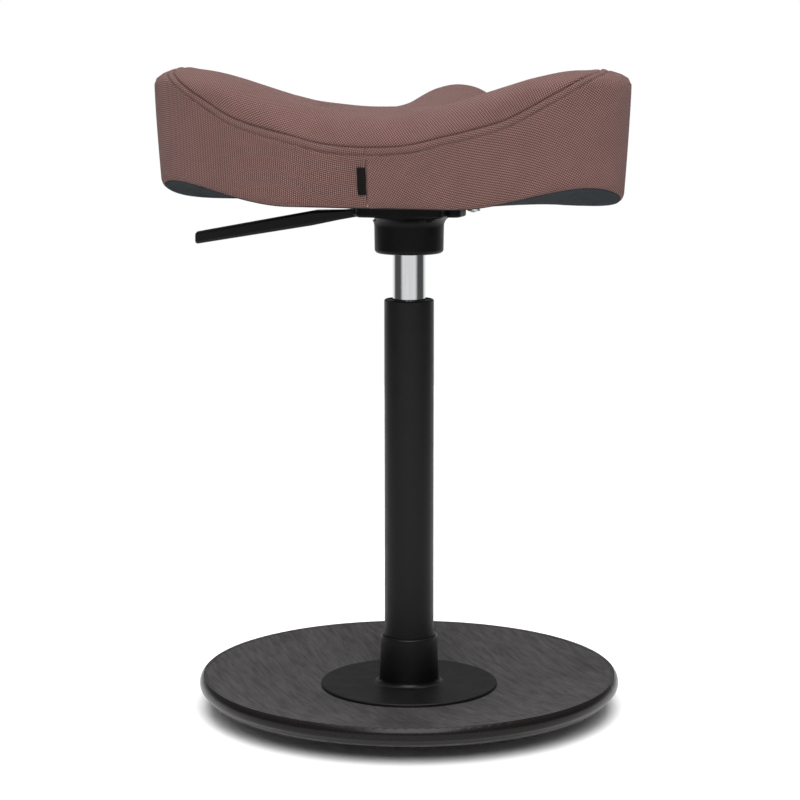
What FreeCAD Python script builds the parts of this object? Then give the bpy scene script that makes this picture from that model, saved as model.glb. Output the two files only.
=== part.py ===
import FreeCAD, Part
import math
import os

V = FreeCAD.Vector
os.makedirs("parts", exist_ok=True)

# Driving sizes, all in millimetres. +Z is up, the floor is z = 0 and the column stands on the Z axis.

# Footplate: a dished round of laminated wood that stands on a rubber ring
PLATE_R = 213.0
PLATE_EDGE_INSET = 3.8
PLATE_THICK = 18.4
DISH_SPHERE_R = 1238.0
RIM_LIP_DEPTH = 0.8
RING_PROUD = 2.0
RING_MID_R = 84.0
RING_WIDTH = 16.0
RING_GROOVE_DEPTH = 3.0

# Flange disc and socket that carry the column
FLANGE_R = 89.6
FLANGE_LIP_THICK = 3.0
FLANGE_LIP_WIDTH = 3.6
FLANGE_LET_IN = 0.6
SOCKET_TOP_R = 28.5
SOCKET_TOP_ROUND = 2.0
SOCKET_FOOT_R = 30.2
SOCKET_HEIGHT = 49.3
WELD_LEG = 5.0

# Screws that hold the flange disc from below
BASE_SCREW_COUNT = 4
BASE_SCREW_CIRCLE_R = 60.0
BASE_SCREW_R = 3.0
BASE_SCREW_HEAD_R = 6.0
BASE_SCREW_HEAD_H = 3.6
BASE_SCREW_COVER = 1.4

# Column tube with its floor disc and guide bush
TUBE_R = 25.0
TUBE_WALL = 2.5
TUBE_LENGTH = 392.8
TUBE_FLOOR_HEIGHT = 12.0
TUBE_FLOOR_THICK = 4.0
BUSH_LENGTH = 80.0
BUSH_SET_BACK = 0.6

# Gas spring: chromed cylinder that slides on a fixed-height piston rod
CYLINDER_R = 16.68
CYLINDER_WALL = 1.6
CYLINDER_SHOWN = 46.4
CYLINDER_IN_TUBE = 285.0
TAPER_LENGTH = 30.7
TAPER_SLOPE = 0.025
ROD_R = 5.0
ROD_STEM_R = 4.0
PISTON_LENGTH = 14.0
ROD_GUIDE_LENGTH = 16.0
HEIGHT_UP = 200.0
HEIGHT_DOWN = 36.0
VALVE_LENGTH = 46.0
BUTTON_R = 3.0
BUTTON_HEAD_R = 5.0
BUTTON_HEAD_H = 3.0
BUTTON_STROKE = 2.4

# Thrust bearing, bumper and clip at the foot of the rod
WASHER_R = 12.0
WASHER_THICK = 1.5
BALL_R = 1.6
BALL_COUNT = 10
BALL_CIRCLE_R = 8.4
CAGE_THICK = 1.2
BUMPER_R = 14.0
BUMPER_HEIGHT = 14.0
CLIP_R = 8.0
CLIP_THICK = 1.2
STEM_TAIL = 2.5

# Mechanism housing: hub cup, mounting plate and two ears
HUB_R = 34.9
HUB_DRAFT = 0.4
HUB_CORNER_R = 4.0
HUB_FLARE_R = 10.0
HUB_CUP_HEIGHT = 37.1
MOUNT_PLATE_X = 90.0
MOUNT_PLATE_Y = 80.0
MOUNT_PLATE_THICK = 12.3
MOUNT_CORNER_R = 8.0
MOUNT_EDGE_R = 2.5
MOUNT_BAR_X = 113.0
MOUNT_BAR_Y = 32.0
EAR_SCREW_X = 60.0
EAR_SCREW_Y = 25.5
EAR_R = 9.0
EAR_THICK = 3.0
INNER_SCREW_X = 34.0
INNER_SCREW_Y = -29.0
LEVER_SLOT_Y = 18.0
CHEEK_THICK = 5.0
POCKET_Y = 44.0
POCKET_FLOOR_DROP = 16.7

# Lever that pushes the release button
LEVER_PIN_X = -24.0
LEVER_PIN_R = 2.5
LEVER_EYE_R = 4.9
LEVER_NOSE_X = 5.0
LEVER_TIP_X = -226.0
LEVER_TIP_DROP = 33.8
LEVER_TIP_THICK = 12.7
LEVER_ROOT_WIDTH = 16.0
LEVER_GRIP_WIDTH = 30.0
LEVER_CORNER_R = 3.0
LEVER_BEND_FAR = 76.0
LEVER_BEND_DROP = 10.9
LEVER_BEND_THICK = 15.0
LEVER_MID_FAR = 46.0
LEVER_MID_DROP = 7.1
LEVER_MID_THICK = 9.6
LEVER_NECK_FAR = 20.0
LEVER_NECK_DROP = 3.3
LEVER_NECK_THICK = 7.4
PIN_CLIP_R = 5.0
PIN_CLIP_THICK = 0.9

# Screws that hold the seat
SEAT_SCREW_R = 4.0
SEAT_SCREW_HEAD_R = 6.5
SEAT_SCREW_HEAD_H = 4.6
SEAT_WASHER_R = 8.0
SEAT_WASHER_THICK = 1.4
TEE_NUT_R = 9.0
TEE_NUT_BARREL_R = 5.2
TEE_NUT_PLATE = 1.5

# Saddle seat: plan outline as half of a symmetric closed curve, rear to nose
SEAT_HALF_PLAN = [
    (0.0, -138.0),
    (75.0, -138.0),
    (140.0, -135.0),
    (190.0, -123.0),
    (224.0, -104.0),
    (239.0, -78.0),
    (233.0, -50.0),
    (208.0, -28.0),
    (170.0, -10.0),
    (134.0, 10.0),
    (106.0, 38.0),
    (90.0, 74.0),
    (82.0, 112.0),
    (75.0, 148.0),
    (58.0, 182.0),
    (32.0, 202.0),
    (0.0, 208.0),
]
SEAT_MID_HEIGHT = 94.3
WING_RISE = 41.0
WING_CREST_X = 208.0
WING_FRONT_X = 222.0
WING_FADE_START_Y = -60.0
WING_FADE_LENGTH = 110.0
WING_REAR_START_Y = -25.0
WING_REAR_LENGTH = 55.0
NOSE_RISE = 22.0
NOSE_RISE_START_Y = -20.0
NOSE_RISE_LENGTH = 190.0
NOSE_CROWN_R = 64.0
NOSE_CROWN_START_Y = -30.0
NOSE_CROWN_LENGTH = 150.0
NOSE_FALL_LIMIT = 38.0
BOWL_RISE = 6.5
BOWL_X = 160.0
BOWL_Y = 138.0
WING_TUCK = 24.0
TUCK_START_X = 80.0
TUCK_LENGTH_X = 150.0
TUCK_START_Y = -25.0
TUCK_LENGTH_Y = 95.0
SHELL_THICK = 9.0
SHELL_LET_IN = 1.0
SKIN = 1.6
ROLL_IN = 32.0
BORDER_LEAN = 6.0
SEAT_MIDDLE_Y = -40.0
CENTRE_SHARE = 0.02
RING_POINTS = 56
RING_EDGE_SPANS = 7
INNER_SHARES = (0.86, 0.72, 0.58, 0.44, 0.3, 0.16)
WALL_SHARES = (0.0, 0.35, 0.7, 1.0)
HEM_ROUND = 1.2
HEM_LIP = 14.0
UNDER_COVER_THICK = 1.2
UNDER_COVER_LAP = 7.0
UNDER_COVER_STEP = 3.0
SEAM_DROP_REAR = 33.0
SEAM_DROP_WING = 15.0
SEAM_DROP_START_X = 40.0
SEAM_DROP_LENGTH = 170.0
TAG_WIDTH = 8.0
TAG_HEIGHT = 26.0
TAG_THICK = 0.8
TAG_BOTTOM_UP = 11.0

# Clearances
SLIDE_GAP = 0.06
FIT_GAP = 0.03
HOLE_GAP = 0.4
FREE_GAP = 0.4
SOFT_GAP = 0.3
CLOTH_GAP = 0.2
FOAM_GAP = 0.4


def sphere_sag(radius, sphere_radius):
    return sphere_radius - math.sqrt(sphere_radius ** 2 - radius ** 2)


# Heights that follow from the sizes above
PLATE_BOTTOM_Z = RING_PROUD
PLATE_TOP_Z = PLATE_BOTTOM_Z + PLATE_THICK
UNDER_SPHERE_R = DISH_SPHERE_R + PLATE_THICK
PLATE_EDGE_R = PLATE_R - PLATE_EDGE_INSET
FLANGE_BOTTOM_Z = PLATE_TOP_Z - FLANGE_LET_IN
FLANGE_LIP_Z = PLATE_TOP_Z + sphere_sag(FLANGE_R, DISH_SPHERE_R) + FIT_GAP
FLANGE_TOP_Z = FLANGE_LIP_Z + FLANGE_LIP_THICK
FLANGE_SEAT_R = FLANGE_R - FLANGE_LIP_WIDTH
TUBE_TOP_Z = FLANGE_TOP_Z + TUBE_LENGTH
TUBE_BORE_R = TUBE_R - TUBE_WALL
TUBE_FLOOR_Z = FLANGE_TOP_Z + TUBE_FLOOR_HEIGHT
TUBE_FLOOR_TOP_Z = TUBE_FLOOR_Z + TUBE_FLOOR_THICK
LOWER_WASHER_TOP_Z = TUBE_FLOOR_TOP_Z + WASHER_THICK
UPPER_WASHER_Z = LOWER_WASHER_TOP_Z + 2 * BALL_R + SOFT_GAP
UPPER_WASHER_TOP_Z = UPPER_WASHER_Z + WASHER_THICK
CLIP_TOP_Z = TUBE_FLOOR_Z - SOFT_GAP
CLIP_Z = CLIP_TOP_Z - CLIP_THICK
ROD_END_Z = CLIP_Z - STEM_TAIL
HUB_BOTTOM_Z = TUBE_TOP_Z + CYLINDER_SHOWN
MOUNT_PLATE_Z = HUB_BOTTOM_Z + HUB_CUP_HEIGHT
MOUNT_TOP_Z = MOUNT_PLATE_Z + MOUNT_PLATE_THICK
CYLINDER_BOTTOM_Z = TUBE_TOP_Z - CYLINDER_IN_TUBE
CYLINDER_TOP_Z = HUB_BOTTOM_Z + TAPER_LENGTH
CYLINDER_BORE_R = CYLINDER_R - CYLINDER_WALL
TAPER_TOP_R = CYLINDER_R - TAPER_SLOPE * TAPER_LENGTH
PISTON_Z = CYLINDER_BOTTOM_Z + ROD_GUIDE_LENGTH + HEIGHT_UP + FREE_GAP
PISTON_TOP_Z = PISTON_Z + PISTON_LENGTH
VALVE_TOP_Z = CYLINDER_TOP_Z - CYLINDER_WALL
VALVE_Z = VALVE_TOP_Z - VALVE_LENGTH
BUTTON_HEAD_Z = CYLINDER_TOP_Z + BUTTON_STROKE + FREE_GAP
BUTTON_TOP_Z = BUTTON_HEAD_Z + BUTTON_HEAD_H
LEVER_NOSE_Z = BUTTON_TOP_Z + SOFT_GAP
LEVER_PIN_Z = MOUNT_TOP_Z - LEVER_EYE_R - FREE_GAP
POCKET_FLOOR_Z = MOUNT_TOP_Z - POCKET_FLOOR_DROP
SHELL_Z = MOUNT_TOP_Z - SHELL_LET_IN

# Insets of the seat's rings from the plan outline
HEM_INSET = BORDER_LEAN + HEM_ROUND
EDGE_INSET = BORDER_LEAN + SKIN + SOFT_GAP / 2
LAP_INSET = BORDER_LEAN + UNDER_COVER_LAP
LIP_INSET = BORDER_LEAN + HEM_LIP


def cylinder(radius, z_low, z_high, x=0.0, y=0.0):
    return Part.makeCylinder(radius, z_high - z_low, V(x, y, z_low), V(0, 0, 1))


def ring(outer, inner, z_low, z_high, x=0.0, y=0.0):
    return cylinder(outer, z_low, z_high, x, y).cut(cylinder(inner, z_low, z_high, x, y))


def box(x_low, x_high, y_low, y_high, z_low, z_high):
    return Part.makeBox(x_high - x_low, y_high - y_low, z_high - z_low, V(x_low, y_low, z_low))


def revolve(points):
    """Turn a closed outline of (radius, height) points about the Z axis."""
    wire = Part.makePolygon([V(r, 0, z) for r, z in points + [points[0]]])
    return Part.Face(wire).revolve(V(0, 0, 0), V(0, 0, 1), 360)


def revolve_edges(edges):
    wire = Part.Wire(Part.__sortEdges__(edges))
    return Part.Face(wire).revolve(V(0, 0, 0), V(0, 0, 1), 360)


def line(a, b):
    return Part.LineSegment(V(a[0], 0, a[1]), V(b[0], 0, b[1])).toShape()


def arc(a, middle, b):
    return Part.Arc(V(a[0], 0, a[1]), V(middle[0], 0, middle[1]), V(b[0], 0, b[1])).toShape()


def polar(radius, index, count, start=45.0):
    angle = math.radians(start + 360.0 * index / count)
    return radius * math.cos(angle), radius * math.sin(angle)


def join(shapes):
    result = shapes[0]
    for shape in shapes[1:]:
        result = result.fuse(shape)
    return result.removeSplitter()


def smooth(value):
    """Ease from 0 to 1."""
    t = min(max(value, 0.0), 1.0)
    return t * t * (3.0 - 2.0 * t)


def save(name, shape):
    shape.exportStep("parts/" + name + ".step")


# Base

def dish_z(radius):
    return PLATE_TOP_Z + sphere_sag(radius, DISH_SPHERE_R)


def under_z(radius):
    return PLATE_BOTTOM_Z + sphere_sag(radius, UNDER_SPHERE_R)


def base_screw_places():
    return [polar(BASE_SCREW_CIRCLE_R, i, BASE_SCREW_COUNT) for i in range(BASE_SCREW_COUNT)]


def base_screw_seat_z():
    return under_z(BASE_SCREW_CIRCLE_R) + BASE_SCREW_COVER + BASE_SCREW_HEAD_H


def make_footplate():
    foot_r = PLATE_R - 7.0
    nose_z = (dish_z(PLATE_EDGE_R) + under_z(foot_r)) / 2 + 1.6
    top = (PLATE_EDGE_R, dish_z(PLATE_EDGE_R))
    low = (foot_r, under_z(foot_r))
    lip = (top[0] - 2.0, dish_z(PLATE_EDGE_R - 2.0))
    groove = (lip[0] - 1.2, dish_z(lip[0] - 1.2) - RIM_LIP_DEPTH)
    inner = (groove[0] - 1.2, dish_z(groove[0] - 1.2))
    half = inner[0] / 2
    edges = [
        arc((0, PLATE_TOP_Z), (half, dish_z(half)), inner),
        line(inner, groove),
        line(groove, lip),
        line(lip, top),
        arc(top, (PLATE_R, nose_z + 2.0), (PLATE_R - 0.8, nose_z - 4.0)),
        line((PLATE_R - 0.8, nose_z - 4.0), low),
        arc(low, (foot_r / 2, under_z(foot_r / 2)), (0, PLATE_BOTTOM_Z)),
        line((0, PLATE_BOTTOM_Z), (0, PLATE_TOP_Z)),
    ]
    body = revolve_edges(edges)
    body = body.cut(cylinder(FLANGE_SEAT_R, FLANGE_BOTTOM_Z, PLATE_TOP_Z + 20))
    ring_top = under_z(RING_MID_R) + RING_GROOVE_DEPTH
    body = body.cut(ring(RING_MID_R + RING_WIDTH / 2, RING_MID_R - RING_WIDTH / 2, 0, ring_top))
    for x, y in base_screw_places():
        body = body.cut(cylinder(BASE_SCREW_R + HOLE_GAP, 0, PLATE_TOP_Z + 5, x, y))
        body = body.cut(cylinder(BASE_SCREW_HEAD_R + HOLE_GAP, 0, base_screw_seat_z(), x, y))
    return body


def make_anti_slip_ring():
    ring_top = under_z(RING_MID_R) + RING_GROOVE_DEPTH
    outer = RING_MID_R + RING_WIDTH / 2 - FIT_GAP
    inner = RING_MID_R - RING_WIDTH / 2 + FIT_GAP
    body = ring(outer, inner, 0, ring_top)
    for radius in (RING_MID_R - 3.5, RING_MID_R, RING_MID_R + 3.5):
        body = body.cut(ring(radius + 0.7, radius - 0.7, 0, 0.8))
    return body


def make_flange_plate():
    chamfer = 0.8
    body = revolve([
        (0, FLANGE_BOTTOM_Z),
        (FLANGE_SEAT_R - FIT_GAP, FLANGE_BOTTOM_Z),
        (FLANGE_SEAT_R - FIT_GAP, FLANGE_LIP_Z),
        (FLANGE_R, FLANGE_LIP_Z),
        (FLANGE_R, FLANGE_TOP_Z - chamfer),
        (FLANGE_R - chamfer, FLANGE_TOP_Z),
        (0, FLANGE_TOP_Z),
    ])
    for x, y in base_screw_places():
        body = body.cut(cylinder(BASE_SCREW_R + FIT_GAP, FLANGE_BOTTOM_Z - 1, FLANGE_TOP_Z - 1.2, x, y))
    return body


def make_base_screws():
    seat = base_screw_seat_z()
    screws = []
    for x, y in base_screw_places():
        shank = cylinder(BASE_SCREW_R, seat - 0.5, FLANGE_TOP_Z - 1.6, x, y)
        head = Part.makeCone(BASE_SCREW_HEAD_R - 1.0, BASE_SCREW_HEAD_R, 1.0, V(x, y, seat - BASE_SCREW_HEAD_H))
        head = head.fuse(cylinder(BASE_SCREW_HEAD_R, seat - BASE_SCREW_HEAD_H + 1.0, seat, x, y))
        head = head.cut(cylinder(2.2, seat - BASE_SCREW_HEAD_H, seat - BASE_SCREW_HEAD_H + 2.0, x, y))
        screws.append(head.fuse(shank))
    return Part.makeCompound(screws)


def make_column_socket():
    top = FLANGE_TOP_Z + SOCKET_HEIGHT
    bore = TUBE_R + FIT_GAP
    weld_r = SOCKET_FOOT_R + WELD_LEG
    bend = 0.3 * WELD_LEG
    shoulder = SOCKET_TOP_ROUND * (1 - math.sqrt(0.5))
    edges = [
        line((bore, FLANGE_TOP_Z), (weld_r, FLANGE_TOP_Z)),
        arc((weld_r, FLANGE_TOP_Z), (SOCKET_FOOT_R + bend, FLANGE_TOP_Z + bend),
            (SOCKET_FOOT_R, FLANGE_TOP_Z + WELD_LEG)),
        line((SOCKET_FOOT_R, FLANGE_TOP_Z + WELD_LEG), (SOCKET_TOP_R, top - SOCKET_TOP_ROUND)),
        arc((SOCKET_TOP_R, top - SOCKET_TOP_ROUND), (SOCKET_TOP_R - shoulder, top - shoulder),
            (SOCKET_TOP_R - SOCKET_TOP_ROUND, top)),
        line((SOCKET_TOP_R - SOCKET_TOP_ROUND, top), (bore, top)),
        line((bore, top), (bore, FLANGE_TOP_Z)),
    ]
    return revolve_edges(edges)


def make_column_tube():
    return revolve([
        (TUBE_BORE_R, FLANGE_TOP_Z),
        (TUBE_R, FLANGE_TOP_Z),
        (TUBE_R, TUBE_TOP_Z - 1.2),
        (TUBE_R - 1.2, TUBE_TOP_Z),
        (TUBE_BORE_R, TUBE_TOP_Z),
    ])


def make_tube_floor():
    return ring(TUBE_BORE_R - FIT_GAP, ROD_STEM_R + SLIDE_GAP, TUBE_FLOOR_Z, TUBE_FLOOR_TOP_Z)


def make_guide_bush():
    top = TUBE_TOP_Z - BUSH_SET_BACK
    low = top - BUSH_LENGTH
    bore = CYLINDER_R + SLIDE_GAP
    relief = bore + 0.8
    outer = TUBE_BORE_R - FIT_GAP
    return revolve([
        (bore, low),
        (outer, low),
        (outer, top),
        (bore + 1.0, top),
        (bore, top - 1.0),
        (bore, top - 24.0),
        (relief, top - 25.0),
        (relief, low + 25.0),
        (bore, low + 24.0),
    ])


# Thrust bearing and rod

def make_lower_washer():
    return ring(WASHER_R, ROD_STEM_R + SLIDE_GAP, TUBE_FLOOR_TOP_Z, LOWER_WASHER_TOP_Z)


def make_ball_cage():
    middle = LOWER_WASHER_TOP_Z + BALL_R
    cage = ring(BALL_CIRCLE_R + 2.6, BALL_CIRCLE_R - 2.6, middle - CAGE_THICK / 2, middle + CAGE_THICK / 2)
    balls = []
    for i in range(BALL_COUNT):
        x, y = polar(BALL_CIRCLE_R, i, BALL_COUNT)
        balls.append(Part.makeSphere(BALL_R, V(x, y, middle)))
    return cage.multiFuse(balls)


def make_upper_washer():
    return ring(WASHER_R, ROD_STEM_R + FIT_GAP, UPPER_WASHER_Z, UPPER_WASHER_TOP_Z)


def make_piston_rod():
    groove_r = ROD_STEM_R - 0.9
    return revolve([
        (0, ROD_END_Z),
        (ROD_STEM_R - 0.6, ROD_END_Z),
        (ROD_STEM_R, ROD_END_Z + 0.6),
        (ROD_STEM_R, CLIP_Z),
        (groove_r, CLIP_Z),
        (groove_r, CLIP_TOP_Z),
        (ROD_STEM_R, CLIP_TOP_Z),
        (ROD_STEM_R, UPPER_WASHER_TOP_Z),
        (ROD_R, UPPER_WASHER_TOP_Z),
        (ROD_R, PISTON_Z),
        (ROD_STEM_R, PISTON_Z),
        (ROD_STEM_R, PISTON_TOP_Z),
        (0, PISTON_TOP_Z),
    ])


def make_piston():
    outer = CYLINDER_BORE_R - SLIDE_GAP
    groove = outer - 1.6
    return revolve([
        (ROD_STEM_R + FIT_GAP, PISTON_Z),
        (outer, PISTON_Z),
        (outer, PISTON_Z + 4.0),
        (groove, PISTON_Z + 4.0),
        (groove, PISTON_Z + 8.0),
        (outer, PISTON_Z + 8.0),
        (outer, PISTON_TOP_Z),
        (ROD_STEM_R + FIT_GAP, PISTON_TOP_Z),
    ])


def make_piston_seal():
    return ring(CYLINDER_BORE_R - SLIDE_GAP, CYLINDER_BORE_R - SLIDE_GAP - 1.6 + FIT_GAP,
                PISTON_Z + 4.0 + FIT_GAP, PISTON_Z + 8.0 - FIT_GAP)


def make_rod_clip():
    body = ring(CLIP_R, ROD_STEM_R - 0.9 + FIT_GAP, CLIP_Z + FIT_GAP, CLIP_TOP_Z - FIT_GAP)
    return body.cut(box(0, CLIP_R + 1, -2.4, 2.4, CLIP_Z - 1, CLIP_TOP_Z + 1))


def make_bumper():
    low = UPPER_WASHER_TOP_Z
    top = low + BUMPER_HEIGHT
    inner = ROD_R + SLIDE_GAP
    waist = BUMPER_R - 2.2
    return revolve([
        (inner, low),
        (WASHER_R, low),
        (BUMPER_R, low + 3.0),
        (waist, low + BUMPER_HEIGHT / 2),
        (BUMPER_R, top - 3.0),
        (BUMPER_R - 2.0, top),
        (inner, top),
    ])


# Gas cylinder

def make_gas_cylinder():
    body = revolve([
        (CYLINDER_BORE_R, CYLINDER_BOTTOM_Z),
        (CYLINDER_R - 0.8, CYLINDER_BOTTOM_Z),
        (CYLINDER_R, CYLINDER_BOTTOM_Z + 0.8),
        (CYLINDER_R, HUB_BOTTOM_Z),
        (TAPER_TOP_R, CYLINDER_TOP_Z),
        (BUTTON_R + 0.6, CYLINDER_TOP_Z),
        (BUTTON_R + 0.6, VALVE_TOP_Z),
        (TAPER_TOP_R - CYLINDER_WALL, VALVE_TOP_Z),
        (TAPER_TOP_R - CYLINDER_WALL, VALVE_Z),
        (CYLINDER_BORE_R, VALVE_Z - 1.0),
    ])
    return body


def make_valve_body():
    outer = TAPER_TOP_R - CYLINDER_WALL - FIT_GAP
    return revolve([
        (BUTTON_R + SLIDE_GAP, VALVE_Z + 8.0),
        (4.0, VALVE_Z + 6.0),
        (4.0, VALVE_Z),
        (outer, VALVE_Z),
        (outer, VALVE_Z + 18.0),
        (outer - 1.2, VALVE_Z + 19.0),
        (outer - 1.2, VALVE_Z + 22.0),
        (outer, VALVE_Z + 23.0),
        (outer, VALVE_TOP_Z),
        (BUTTON_R + SLIDE_GAP, VALVE_TOP_Z),
    ])


def make_rod_guide():
    outer = CYLINDER_BORE_R - FIT_GAP
    low = CYLINDER_BOTTOM_Z
    top = low + ROD_GUIDE_LENGTH
    return revolve([
        (ROD_R + SLIDE_GAP, low),
        (outer, low),
        (outer, low + 6.0),
        (outer - 1.4, low + 6.0),
        (outer - 1.4, low + 8.5),
        (outer, low + 8.5),
        (outer, top),
        (ROD_R + SLIDE_GAP, top),
    ])


def make_release_button():
    return revolve([
        (0, VALVE_Z + 8.0),
        (BUTTON_R - 0.8, VALVE_Z + 8.0),
        (BUTTON_R, VALVE_Z + 9.0),
        (BUTTON_R, BUTTON_HEAD_Z),
        (BUTTON_HEAD_R, BUTTON_HEAD_Z),
        (BUTTON_HEAD_R, BUTTON_TOP_Z - 0.6),
        (BUTTON_HEAD_R - 0.6, BUTTON_TOP_Z),
        (0, BUTTON_TOP_Z),
    ])


# Mechanism housing

def seat_screw_places():
    ears = [(-EAR_SCREW_X, EAR_SCREW_Y), (EAR_SCREW_X, EAR_SCREW_Y)]
    inner = [(-INNER_SCREW_X, INNER_SCREW_Y), (INNER_SCREW_X, INNER_SCREW_Y)]
    return ears + inner


def rounded_plate(half_x, half_y, corner, z_low, z_high):
    body = box(-half_x, half_x, -half_y, half_y, z_low, z_high)
    corners = [e for e in body.Edges if abs(e.Vertexes[0].Z - e.Vertexes[-1].Z) > 0.1]
    return body.makeFillet(corner, corners)


def ear_slab(grow, z_low, z_high):
    """Bar across both ear screws with round ends."""
    reach = EAR_R + grow
    bar = box(-EAR_SCREW_X, EAR_SCREW_X, EAR_SCREW_Y - reach, EAR_SCREW_Y + reach, z_low, z_high)
    ends = [cylinder(reach, z_low, z_high, side * EAR_SCREW_X, EAR_SCREW_Y) for side in (-1, 1)]
    return bar.multiFuse(ends)


def mount_outline(grow, z_low, z_high):
    plate = rounded_plate(MOUNT_PLATE_X / 2 + grow, MOUNT_PLATE_Y / 2 + grow, MOUNT_CORNER_R, z_low, z_high)
    bar = rounded_plate(MOUNT_BAR_X / 2 + grow, MOUNT_BAR_Y / 2 + grow, MOUNT_CORNER_R, z_low, z_high)
    return plate.multiFuse([bar, ear_slab(grow, z_low, z_high)])


def make_hub_cup():
    foot = HUB_R - HUB_DRAFT
    flare_low = MOUNT_PLATE_Z - HUB_FLARE_R
    bend = HUB_FLARE_R * (1 - math.sqrt(0.5))
    corner = HUB_CORNER_R * (1 - math.sqrt(0.5))
    edges = [
        line((0, HUB_BOTTOM_Z), (foot - HUB_CORNER_R, HUB_BOTTOM_Z)),
        arc((foot - HUB_CORNER_R, HUB_BOTTOM_Z), (foot - corner, HUB_BOTTOM_Z + corner),
            (foot, HUB_BOTTOM_Z + HUB_CORNER_R)),
        line((foot, HUB_BOTTOM_Z + HUB_CORNER_R), (HUB_R, flare_low)),
        arc((HUB_R, flare_low), (HUB_R + bend, MOUNT_PLATE_Z - bend),
            (HUB_R + HUB_FLARE_R, MOUNT_PLATE_Z)),
        line((HUB_R + HUB_FLARE_R, MOUNT_PLATE_Z), (HUB_R + HUB_FLARE_R, MOUNT_PLATE_Z + 2.0)),
        line((HUB_R + HUB_FLARE_R, MOUNT_PLATE_Z + 2.0), (0, MOUNT_PLATE_Z + 2.0)),
        line((0, MOUNT_PLATE_Z + 2.0), (0, HUB_BOTTOM_Z)),
    ]
    cup = revolve_edges(edges)
    return cup.common(box(-80, 80, -MOUNT_PLATE_Y / 2, MOUNT_PLATE_Y / 2, HUB_BOTTOM_Z - 1, MOUNT_TOP_Z))


def rounded_block(length_x, length_y):
    block = rounded_plate(length_x / 2, length_y / 2, MOUNT_CORNER_R, MOUNT_PLATE_Z, MOUNT_TOP_Z)
    low_edges = [e for e in block.Edges if abs(e.BoundBox.ZMax - MOUNT_PLATE_Z) < 0.01]
    return block.makeFillet(MOUNT_EDGE_R, low_edges)


def make_mechanism_housing():
    plate = rounded_block(MOUNT_PLATE_X, MOUNT_PLATE_Y)
    bar = rounded_block(MOUNT_BAR_X, MOUNT_BAR_Y)
    ears = ear_slab(0.0, MOUNT_TOP_Z - EAR_THICK, MOUNT_TOP_Z)
    body = join([plate, bar, ears, make_hub_cup()])
    pocket = box(LEVER_PIN_X - 16, LEVER_NOSE_X + 7, -POCKET_Y / 2, POCKET_Y / 2,
                 POCKET_FLOOR_Z, MOUNT_TOP_Z + 1)
    cheek_low = LEVER_SLOT_Y / 2
    cheek_high = cheek_low + CHEEK_THICK
    for side in (-1, 1):
        y_low = min(side * cheek_low, side * cheek_high)
        cheek = box(LEVER_PIN_X - 7, LEVER_PIN_X + 7, y_low, y_low + CHEEK_THICK, POCKET_FLOOR_Z, MOUNT_TOP_Z + 1)
        pocket = pocket.cut(cheek)
    body = body.cut(pocket)
    slot = box(-EAR_SCREW_X - 20, LEVER_PIN_X, -cheek_low, cheek_low, POCKET_FLOOR_Z, MOUNT_TOP_Z + 1)
    body = body.cut(slot)
    window = box(-EAR_SCREW_X - 20, -MOUNT_BAR_X / 2 + 8, -cheek_low - 2.5, cheek_low + 2.5,
                 POCKET_FLOOR_Z, MOUNT_TOP_Z + 1)
    body = body.cut(window)
    bore = Part.makeCone(CYLINDER_R + FIT_GAP, TAPER_TOP_R + FIT_GAP, TAPER_LENGTH, V(0, 0, HUB_BOTTOM_Z))
    body = body.cut(bore)
    body = body.cut(cylinder(TAPER_TOP_R + FIT_GAP, CYLINDER_TOP_Z - 0.5, MOUNT_TOP_Z))
    pin_hole = Part.makeCylinder(LEVER_PIN_R + FIT_GAP, POCKET_Y, V(LEVER_PIN_X, -POCKET_Y / 2, LEVER_PIN_Z), V(0, 1, 0))
    body = body.cut(pin_hole)
    for x, y in seat_screw_places():
        body = body.cut(cylinder(SEAT_SCREW_R + HOLE_GAP, MOUNT_PLATE_Z - 15, MOUNT_TOP_Z + 1, x, y))
        if y < 0:
            well = cylinder(SEAT_WASHER_R + HOLE_GAP, HUB_BOTTOM_Z, MOUNT_TOP_Z - EAR_THICK, x, y)
            body = body.cut(well)
    return body


def lever_section(x, middle_z, thick, width, corner):
    """Rounded cross section of the lever at one distance from the column."""
    half_y = width / 2
    half_z = thick / 2
    bend = corner * (1 - math.sqrt(0.5))
    edges = []
    for sy, sz in ((1, 1), (-1, 1), (-1, -1), (1, -1)):
        a = V(x, sy * half_y, middle_z + sz * (half_z - corner))
        m = V(x, sy * (half_y - bend), middle_z + sz * (half_z - bend))
        b = V(x, sy * (half_y - corner), middle_z + sz * half_z)
        edges.append(Part.Arc(a, m, b).toShape())
    flat_y = half_y - corner
    flat_z = half_z - corner
    for sz in (-1, 1):
        z = middle_z + sz * half_z
        edges.append(Part.LineSegment(V(x, -flat_y, z), V(x, flat_y, z)).toShape())
    for sy in (-1, 1):
        y = sy * half_y
        edges.append(Part.LineSegment(V(x, y, middle_z - flat_z), V(x, y, middle_z + flat_z)).toShape())
    return Part.Wire(Part.__sortEdges__(edges))


def lever_middle(x):
    """Height of the middle of the handle, which slopes down to the tip."""
    bend_x = LEVER_PIN_X - LEVER_BEND_FAR
    bend_z = LEVER_PIN_Z - LEVER_BEND_DROP
    tip_z = LEVER_PIN_Z - LEVER_TIP_DROP
    return bend_z + (tip_z - bend_z) * (x - bend_x) / (LEVER_TIP_X - bend_x)


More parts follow.
